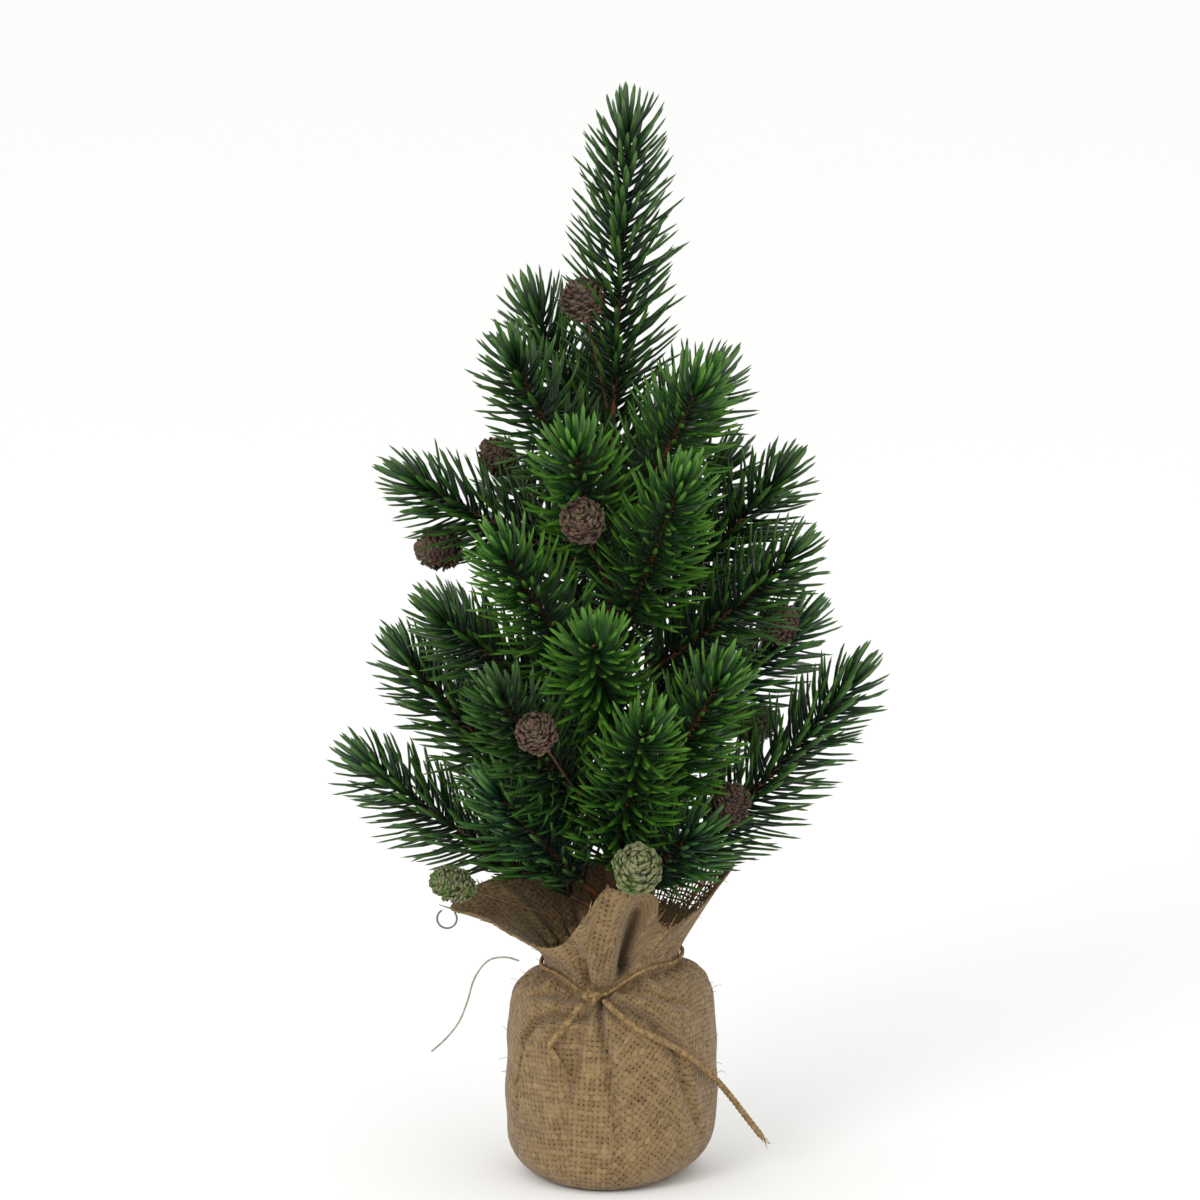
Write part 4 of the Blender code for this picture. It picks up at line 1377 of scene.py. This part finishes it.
    def collar_point(self, azimuth: float, share: float) -> Vector:
        """Return the collar's outer face, from the tie at 0 to the rim at 1."""
        start = self.wall_point(azimuth, "neck", 1.0)
        end = self.rim_point(azimuth)
        reach = (end - start).length
        middle = start + Vector((0, 0, 0.26 * reach)) + level(azimuth) * 0.12 * reach
        smooth = ((1 - share) ** 2 * start + 2 * share * (1 - share) * middle
                  + share ** 2 * end)
        crease = self.gather(azimuth) * 1.6 * MM * (1 - share) ** 2 * min(1.0, share * 6)
        crease += sum(line.relief(azimuth, share) for line in self.creases)
        spot = smooth / (15 * MM)
        ripple = noise.noise(spot) * 1.4 * MM * share * (1 - 0.4 * share)
        return smooth + level(azimuth) * (crease + ripple)

    def cloth_point(self, azimuth: float, part: str, share: float) -> Vector:
        """Return the cloth's outer face anywhere."""
        if part == "collar":
            return self.collar_point(azimuth, share)
        return self.wall_point(azimuth, part, share)

    def thread_angle(self, azimuth: float) -> float:
        """Return how far the threads are turned in the panel at an azimuth."""
        turned = (azimuth + 180) % 360 - 180
        return next(panel.thread_angle for panel in self.panels
                    if panel.start <= turned <= panel.end)

    def is_open(self, azimuth: float, part: str, share: float) -> bool:
        """Tell whether the weave is pulled open at a place on the collar."""
        turned = (azimuth + 180) % 360 - 180
        low, high = self.open_span
        return (part == "collar" and low < turned < high
                and self.open_from + 0.04 * math.sin(turned * 0.9) < share < 0.955)

    def build_cloth(self, material: bpy.types.Material) -> bpy.types.Object:
        """Build the cloth as one sheet of rings drawn out by extrusion, row by row."""
        rows = self.section_rows()
        step = 360 / self.columns
        azimuths = [-180 + step * column for column in range(self.columns)]
        form = bmesh.new()
        layer = form.loops.layers.uv.new("cloth")
        bmesh.ops.create_circle(form, cap_ends=True, cap_tris=True, segments=self.columns,
                                radius=1.0)
        ring = sorted((v for v in form.verts if v.co.length > 0.5),
                      key=lambda v: math.atan2(v.co.y, v.co.x))
        offset = azimuths[0] - math.degrees(math.atan2(ring[0].co.y, ring[0].co.x))
        azimuths = [azimuth - offset for azimuth in azimuths]
        lengths = [0.0] * self.columns
        along = {}
        centre = next(v for v in form.verts if v.co.length < 0.5)
        along[centre] = (0, 0.0)
        previous = [Vector((0, 0, 0))] * self.columns
        for index, (part, share) in enumerate(rows):
            if index:
                edges = ring_edges(ring)
                made = bmesh.ops.extrude_edge_only(form, edges=edges)["geom"]
                fresh = {v for v in made if isinstance(v, bmesh.types.BMVert)}
                ring = [next(e.other_vert(v) for e in v.link_edges
                             if e.other_vert(v) in fresh) for v in ring]
            for column, vert in enumerate(ring):
                vert.co = self.cloth_point(azimuths[column], part, share)
                lengths[column] += (vert.co - previous[column]).length
                previous[column] = vert.co.copy()
                along[vert] = (column, lengths[column])
        bmesh.ops.recalc_face_normals(form, faces=form.faces)
        form.normal_update()
        # the bag is open at the top, so its underside tells which way its faces look
        if centre.normal.z > 0:
            bmesh.ops.reverse_faces(form, faces=form.faces)
        rows_open = []
        for face in form.faces:
            self.lay_threads(face, layer, along, azimuths)
            middle = face.calc_center_median()
            if middle.z > tie_height(0):
                column = min(along[loop.vert][0] for loop in face.loops)
                rows_open.append((face, azimuths[column], middle))
        gone = [face for face, azimuth, middle in rows_open
                if self.is_open(azimuth, "collar", self.share_of(azimuth, middle))]
        bmesh.ops.delete(form, geom=gone, context="FACES")
        cloth = add_piece("burlap_cloth", form, material, 180.0)
        wall = cloth.modifiers.new("cloth_thickness", "SOLIDIFY")
        wall.thickness = self.thickness
        wall.offset = -1
        return cloth

    def share_of(self, azimuth: float, middle: Vector) -> float:
        """Return about how far up the collar a point on it is, from 0 to 1."""
        start = self.wall_point(azimuth, "neck", 1.0)
        end = self.rim_point(azimuth)
        return (middle - start).length / (end - start).length

    def lay_threads(self, face: bmesh.types.BMFace, layer: bmesh.types.BMLayerItem,
                    along: dict, azimuths: list[float]) -> None:
        """Set one face's UV in metres of flat cloth, turned as its panel's threads are.

        Args:
            face: The face.
            layer: The UV layer.
            along: Each vertex's column and distance from the bag's centre.
            azimuths: The columns' azimuths.
        """
        columns = [along[loop.vert][0] for loop in face.loops]
        wraps = max(columns) - min(columns) > self.columns / 2
        on_floor = max(along[loop.vert][1] for loop in face.loops) < BAG_RADIUS * 0.72
        low = min((c for c in columns if not wraps or c > self.columns / 2))
        angle = math.radians(self.thread_angle(azimuths[low] + 0.01))
        for loop in face.loops:
            column, distance = along[loop.vert]
            if on_floor:
                loop[layer].uv = (loop.vert.co.x, loop.vert.co.y)
                continue
            turn = azimuths[column]
            if wraps and column < self.columns / 2:
                turn += 360
            x = math.radians(turn) * 0.045
            loop[layer].uv = (x * math.cos(angle) - distance * math.sin(angle),
                              x * math.sin(angle) + distance * math.cos(angle))

    def build_loose_weave(self, material: bpy.types.Material) -> bpy.types.Object:
        """Weave single yarns over the opening in the right of the collar."""
        rng = random.Random(31)
        low, high = self.open_span
        routes = []
        margin = 0.04
        shares = [self.open_from - margin + i * 0.052 for i in range(12)]
        turns = [low - 2 + i * 2.9 for i in range(int((high - low + 4) / 2.9) + 1)]
        for number, share in enumerate(shares):
            drift = rng.uniform(-0.010, 0.010)
            points = []
            for i in range(2 * len(turns) - 1):
                azimuth = turns[0] + i * 1.45
                over = 0.32 * MM * math.cos(math.pi * (i / 2 + number))
                wave = 0.006 * math.sin(i * 0.6 + number)
                points.append(self.collar_point(azimuth, min(0.995, share + drift + wave))
                              - level(azimuth) * (0.4 * MM - over))
            radius = rng.uniform(0.30, 0.50) * MM
            routes.append((points, [radius * rng.uniform(0.8, 1.2) for _ in points]))
        for number, azimuth in enumerate(turns):
            drift = rng.uniform(-0.6, 0.6)
            points = []
            steps = 2 * len(shares) + 2
            for i in range(steps):
                share = shares[0] + i * 0.026 - 0.026
                over = 0.32 * MM * math.cos(math.pi * (i / 2 + number + 0.5))
                place = azimuth + drift + 0.35 * math.sin(i * 0.5 + number)
                points.append(self.collar_point(place, min(1.0, max(0.0, share)))
                              - level(place) * (0.4 * MM + over))
            radius = rng.uniform(0.30, 0.50) * MM
            routes.append((points, [radius * rng.uniform(0.8, 1.2) for _ in points]))
        return add_strands("collar_loose_weave", routes, material)

    def build_fringe(self, material: bpy.types.Material) -> bpy.types.Object:
        """Fray the collar's edge: short yarn ends that lean and curl as they dry."""
        rng = random.Random(47)
        routes = []
        azimuth = -180.0
        while azimuth < 180.0:
            foot = self.collar_point(azimuth, 0.97)
            edge = self.collar_point(azimuth, 1.0)
            out = (edge - foot).normalized()
            aside = (self.collar_point(azimuth + 1, 1.0) - edge).normalized()
            pace = max(0.4, (self.collar_point(azimuth + 1, 1.0) - edge).length / MM)
            length = rng.uniform(1.8, 4.0) * MM if rng.random() < 0.88 else 7.0 * MM
            lean = rng.uniform(-0.7, 0.7)
            curl = Vector([rng.uniform(-1, 1) for _ in range(3)]) * 0.35
            direction = (out + aside * lean).normalized()
            start = edge - out * 1.6 * MM - level(azimuth) * 0.4 * MM
            points = [start]
            for step in range(1, 5):
                points.append(points[-1] + direction * length / 4)
                direction = (direction + curl / 4).normalized()
            base = rng.uniform(0.28, 0.50) * MM
            routes.append((points, [base * (1 - 0.17 * i) for i in range(5)]))
            azimuth += rng.uniform(1.2, 2.4) / pace
        for _ in range(70):
            azimuth = rng.uniform(-180, 180)
            part, share = rng.choice((("collar", rng.uniform(0.1, 1.0)),
                                      ("shoulder", rng.uniform(0.0, 1.0)),
                                      ("wall", rng.uniform(0.1, 1.0))))
            start = self.cloth_point(azimuth, part, share)
            direction = (level(azimuth) + Vector([rng.uniform(-1, 1) for _ in range(3)]))
            points = [start]
            for step in range(1, 6):
                points.append(points[-1] + direction.normalized() * 0.8 * MM)
                direction += Vector([rng.uniform(-0.5, 0.5) for _ in range(3)])
            routes.append((points, [0.09 * MM] * 6))
        return add_strands("collar_frayed_edge", routes, material)


def ring_edges(ring: list[bmesh.types.BMVert]) -> list[bmesh.types.BMEdge]:
    """Return the edges that join each vertex of a ring to the next."""
    edges = []
    for vert, following in zip(ring, ring[1:] + ring[:1]):
        edges.append(next(e for e in vert.link_edges if e.other_vert(vert) == following))
    return edges


# ------------------------------------------------------------------ twine and wire

TAIL_RIGHT = (
    (-0.0035, -0.0369, 0.0795), (0.0031, -0.0421, 0.0747), (0.0112, -0.0445, 0.0692),
    (0.0233, -0.0394, 0.0617), (0.0334, -0.0315, 0.0530), (0.0412, -0.0205, 0.0432),
    (0.0474, -0.0145, 0.0346), (0.0547, -0.0120, 0.0243), (0.0615, -0.0110, 0.0151),
)
TAIL_LEFT = (
    (-0.0121, -0.0357, 0.0782), (-0.0165, -0.0405, 0.0730), (-0.0216, -0.0412, 0.0664),
    (-0.0250, -0.0388, 0.0612), (-0.0220, -0.0409, 0.0556), (-0.0181, -0.0425, 0.0496),
)
LOOSE_FIBRE = (
    (-0.0375, -0.0150, 0.0905), (-0.0430, -0.0120, 0.0912), (-0.0500, -0.0090, 0.0890),
    (-0.0555, -0.0080, 0.0815), (-0.0585, -0.0080, 0.0715), (-0.0620, -0.0080, 0.0630),
    (-0.0675, -0.0081, 0.0560), (-0.0730, -0.0081, 0.0510),
)


@dataclass(frozen=True)
class Rope:
    """Three-strand jute: a lobed section that turns as it runs."""

    radius: float = TWINE_RADIUS
    strands: int = 3
    sides: int = 15
    lay_mm: float = 6.5             # length of one turn
    groove: float = 0.22            # depth of the groove between strands

    def build(self, name: str, route: list[Vector], material: bpy.types.Material,
              closed: bool = False, ends: float = 1.0) -> bpy.types.Object:
        """Sweep the section along a route by extruding it step by step.

        Args:
            name: The piece's name.
            route: Points well under a diameter apart.
            material: Finish of the jute.
            closed: Whether the rope meets its own start.
            ends: Radius share at the two ends of an open rope.

        Returns:
            The rope.
        """
        form = bmesh.new()
        bmesh.ops.create_circle(form, cap_ends=not closed, segments=self.sides, radius=1.0)
        ring = sorted(form.verts, key=lambda v: math.atan2(v.co.y, v.co.x))
        opening = list(ring)
        count = len(route)
        normal = (route[1] - route[0]).orthogonal().normalized()
        walked = 0.0
        total = route_length(route)
        turns = max(1, round(total / (self.lay_mm * MM)))
        for step, point in enumerate(route):
            if closed:
                tangent = (route[(step + 1) % count] - route[step - 1]).normalized()
            else:
                tangent = (route[min(step + 1, count - 1)]
                           - route[max(step - 1, 0)]).normalized()
            normal = (normal - tangent * normal.dot(tangent)).normalized()
            across = tangent.cross(normal)
            if step:
                walked += (point - route[step - 1]).length
                made = bmesh.ops.extrude_edge_only(form, edges=ring_edges(ring))["geom"]
                fresh = {v for v in made if isinstance(v, bmesh.types.BMVert)}
                ring = [next(e.other_vert(v) for e in v.link_edges
                             if e.other_vert(v) in fresh) for v in ring]
            twist = math.tau * turns * walked / total
            edge = min(step, count - 1 - step) / 4
            size = self.radius * (1.0 if closed or edge >= 1 else ends + (1 - ends) * edge)
            for side, vert in enumerate(ring):
                angle = math.tau * side / self.sides
                lobe = 1 - self.groove * (0.5 - 0.5 * math.cos(self.strands * angle))
                vert.co = point + (normal * math.cos(angle + twist)
                                   + across * math.sin(angle + twist)) * size * lobe
        if closed:
            bmesh.ops.bridge_loops(form, edges=ring_edges(ring) + ring_edges(opening))
        else:
            bmesh.ops.contextual_create(form, geom=ring_edges(ring))
        bmesh.ops.recalc_face_normals(form, faces=form.faces)
        return add_piece(name, form, material, 70.0)


@dataclass
class TwineTie:
    """The jute twine round the neck: its band, its knot and its two tails."""

    rope: Rope = Rope()
    fine: Rope = Rope(radius=1.25 * MM)
    wrap: Rope = Rope(radius=0.95 * MM)

    def build(self, jute: bpy.types.Material) -> None:
        """Build every piece of the tie.

        Args:
            jute: Finish of the twine.
        """
        band = self.build_band(jute)
        knot = self.build_knot(jute)
        for piece, node in ((band, "twine_band"), (knot, "twine_knot")):
            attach(piece, "base")
            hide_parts(node)
            LOG.info("%s: made", piece.name)
        self.build_tail("twine_tail_right", TAIL_RIGHT, jute, spread=0.25, hairs=7)
        self.build_tail("twine_tail_left", TAIL_LEFT, jute, spread=0.75, hairs=26)

    def build_band(self, jute: bpy.types.Material) -> bpy.types.Object:
        """Build the ring of twine that holds the neck."""
        steps = 200
        route = []
        for step in range(steps):
            azimuth = 360 * step / steps
            reach = NECK_RADIUS + self.wrap.radius + 0.1 * MM
            sway = 0.6 * MM * math.sin(math.radians(5 * azimuth + 40))
            route.append(level(azimuth) * reach
                         + Vector((0, 0, tie_height(azimuth) + sway)))
        return self.wrap.build("twine_band_rope", route, jute, closed=True)

    def build_knot(self, jute: bpy.types.Material) -> bpy.types.Object:
        """Build the pulled-tight overhand knot in front."""
        out = level(KNOT_AZIMUTH)
        across = Vector((0, 0, 1)).cross(out)
        centre = out * (BAND_RADIUS + 4.0 * MM) + Vector((0, 0, tie_height(KNOT_AZIMUTH)))
        route = []
        steps = 90
        for step in range(steps):
            angle = math.tau * step / steps
            x = math.sin(angle) + 2 * math.sin(2 * angle)
            z = math.cos(angle) - 2 * math.cos(2 * angle)
            y = -math.sin(3 * angle)
            route.append(centre + across * x * 0.95 * MM + out * y * 1.0 * MM
                         + Vector((0, 0, z * 0.85 * MM)))
        return self.fine.build("twine_knot_rope", route, jute, closed=True)

    def build_tail(self, node: str, keys: tuple, jute: bpy.types.Material, spread: float,
                   hairs: int) -> None:
        """Build one free end of the twine, with the fibres that its cut end lets go.

        Args:
            node: The CAD node that it stands for.
            keys: Points that it runs through.
            jute: Finish of the twine.
            spread: How wide the end fibres lean.
            hairs: How many end fibres there are.
        """
        route = smooth_route(keys, 0.6 * MM)
        tail = self.rope.build(node + "_rope", route, jute, ends=0.6)
        rng = random.Random(len(route))
        end = route[-1]
        direction = (route[-1] - route[-8]).normalized()
        routes = []
        for _ in range(hairs):
            aside = Vector([rng.uniform(-1, 1) for _ in range(3)])
            heading = (direction + aside * spread).normalized()
            start = end - direction * rng.uniform(0.5, 9.0 * spread + 1.0) * MM
            points = [start]
            for _ in range(5):
                points.append(points[-1] + heading * rng.uniform(0.6, 1.3) * MM)
                heading = (heading + Vector([rng.uniform(-0.3, 0.3)
                                             for _ in range(3)])).normalized()
            routes.append((points, [0.24 * MM - 0.03 * MM * i for i in range(6)]))
        fray = add_strands(node + "_fray", routes, jute)
        for piece in (tail, fray):
            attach(piece, "base")
        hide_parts(node)
        LOG.info("%s: %.4f m long", node, route_length(route))


@dataclass
class LooseFibre:
    """One jute fibre pulled out of the collar's edge, which hangs at the left."""

    radius: float = 0.4 * MM

    def build(self, jute: bpy.types.Material) -> None:
        """Build the fibre."""
        route = smooth_route(LOOSE_FIBRE, 2.0 * MM)
        fibre = add_strands("loose_fibre_strand",
                            [(route, [self.radius] * len(route))], jute)
        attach(fibre, "base")
        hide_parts("loose_fibre")
        LOG.info("loose_fibre: %.4f m long", route_length(route))


@dataclass
class Core:
    """The CAD pieces that are right as they are and only need their finish."""

    def dress(self) -> None:
        """Give each carried-over piece its material."""
        finishes = {
            "trunk_wrap": PaperWrapFinish().material(),
            # cast cement is matt and speckled with sand
            "cement_weight": GrainFinish("cast_cement", "#8a877f", "#b9b5aa", 2.0,
                                         0.95).material(),
            # thin black moulded plastic, slightly satin
            "base_pot": GrainFinish("moulded_plastic_pot", "#1b1b1c", "#262627", 8.0,
                                    0.45).material(),
            # drawn steel rod with faint drawing marks
            "trunk_rod": GrainFinish("drawn_steel_rod", "#8d8f92", "#a9abad", 1.0, 0.35,
                                     metallic=1.0).material(),
            # thin annealed wire, dull grey
            "cone_wire_loop": GrainFinish("annealed_wire", "#5c5a55", "#7a766c", 0.8, 0.5,
                                          metallic=0.7).material(),
        }
        for name, material in finishes.items():
            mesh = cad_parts[name].data
            mesh.materials.clear()
            mesh.materials.append(material)


# ------------------------------------------------------------------ the tree


def build_foliage() -> None:
    """Build the leader, the side sprigs and their cones."""
    needle_templates = NeedleTemplates().build(unit=38.0)
    scale_templates = ScaleTemplates().build()
    stem_material = StemFinish().material()
    needle_materials = {tone: tone.value.material() for tone in Tone}
    cone_materials = {kind: kind.value.material() for kind in ConeKind}
    stalk_material = GrainFinish("wrapped_stalk_wire", "#3b2a1a", "#6a4c2c", 1.2,
                                 0.6).material()
    for sprig in (LEADER, *SPRIGS):
        sprig.build(needle_templates, needle_materials[sprig.tone], stem_material)
    for cone in CONES:
        cone.build(scale_templates, cone_materials[cone.kind], stalk_material)
    for template in needle_templates + scale_templates:
        bpy.data.meshes.remove(template)


def main() -> None:
    """Build the tree piece by piece."""
    logging.basicConfig(level=logging.INFO, format="%(message)s")
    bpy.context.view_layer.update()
    jute = JuteFinish().material()
    Studio().build()
    TwineTie().build(jute)
    LooseFibre().build(GrainFinish("bleached_jute_fibre", "#7d7768", "#a59d8b", 3.0,
                                   0.8).material())
    BurlapBag().build(BurlapFinish().material(), jute)
    Core().dress()
    build_foliage()


if __name__ == "__main__":
    main()
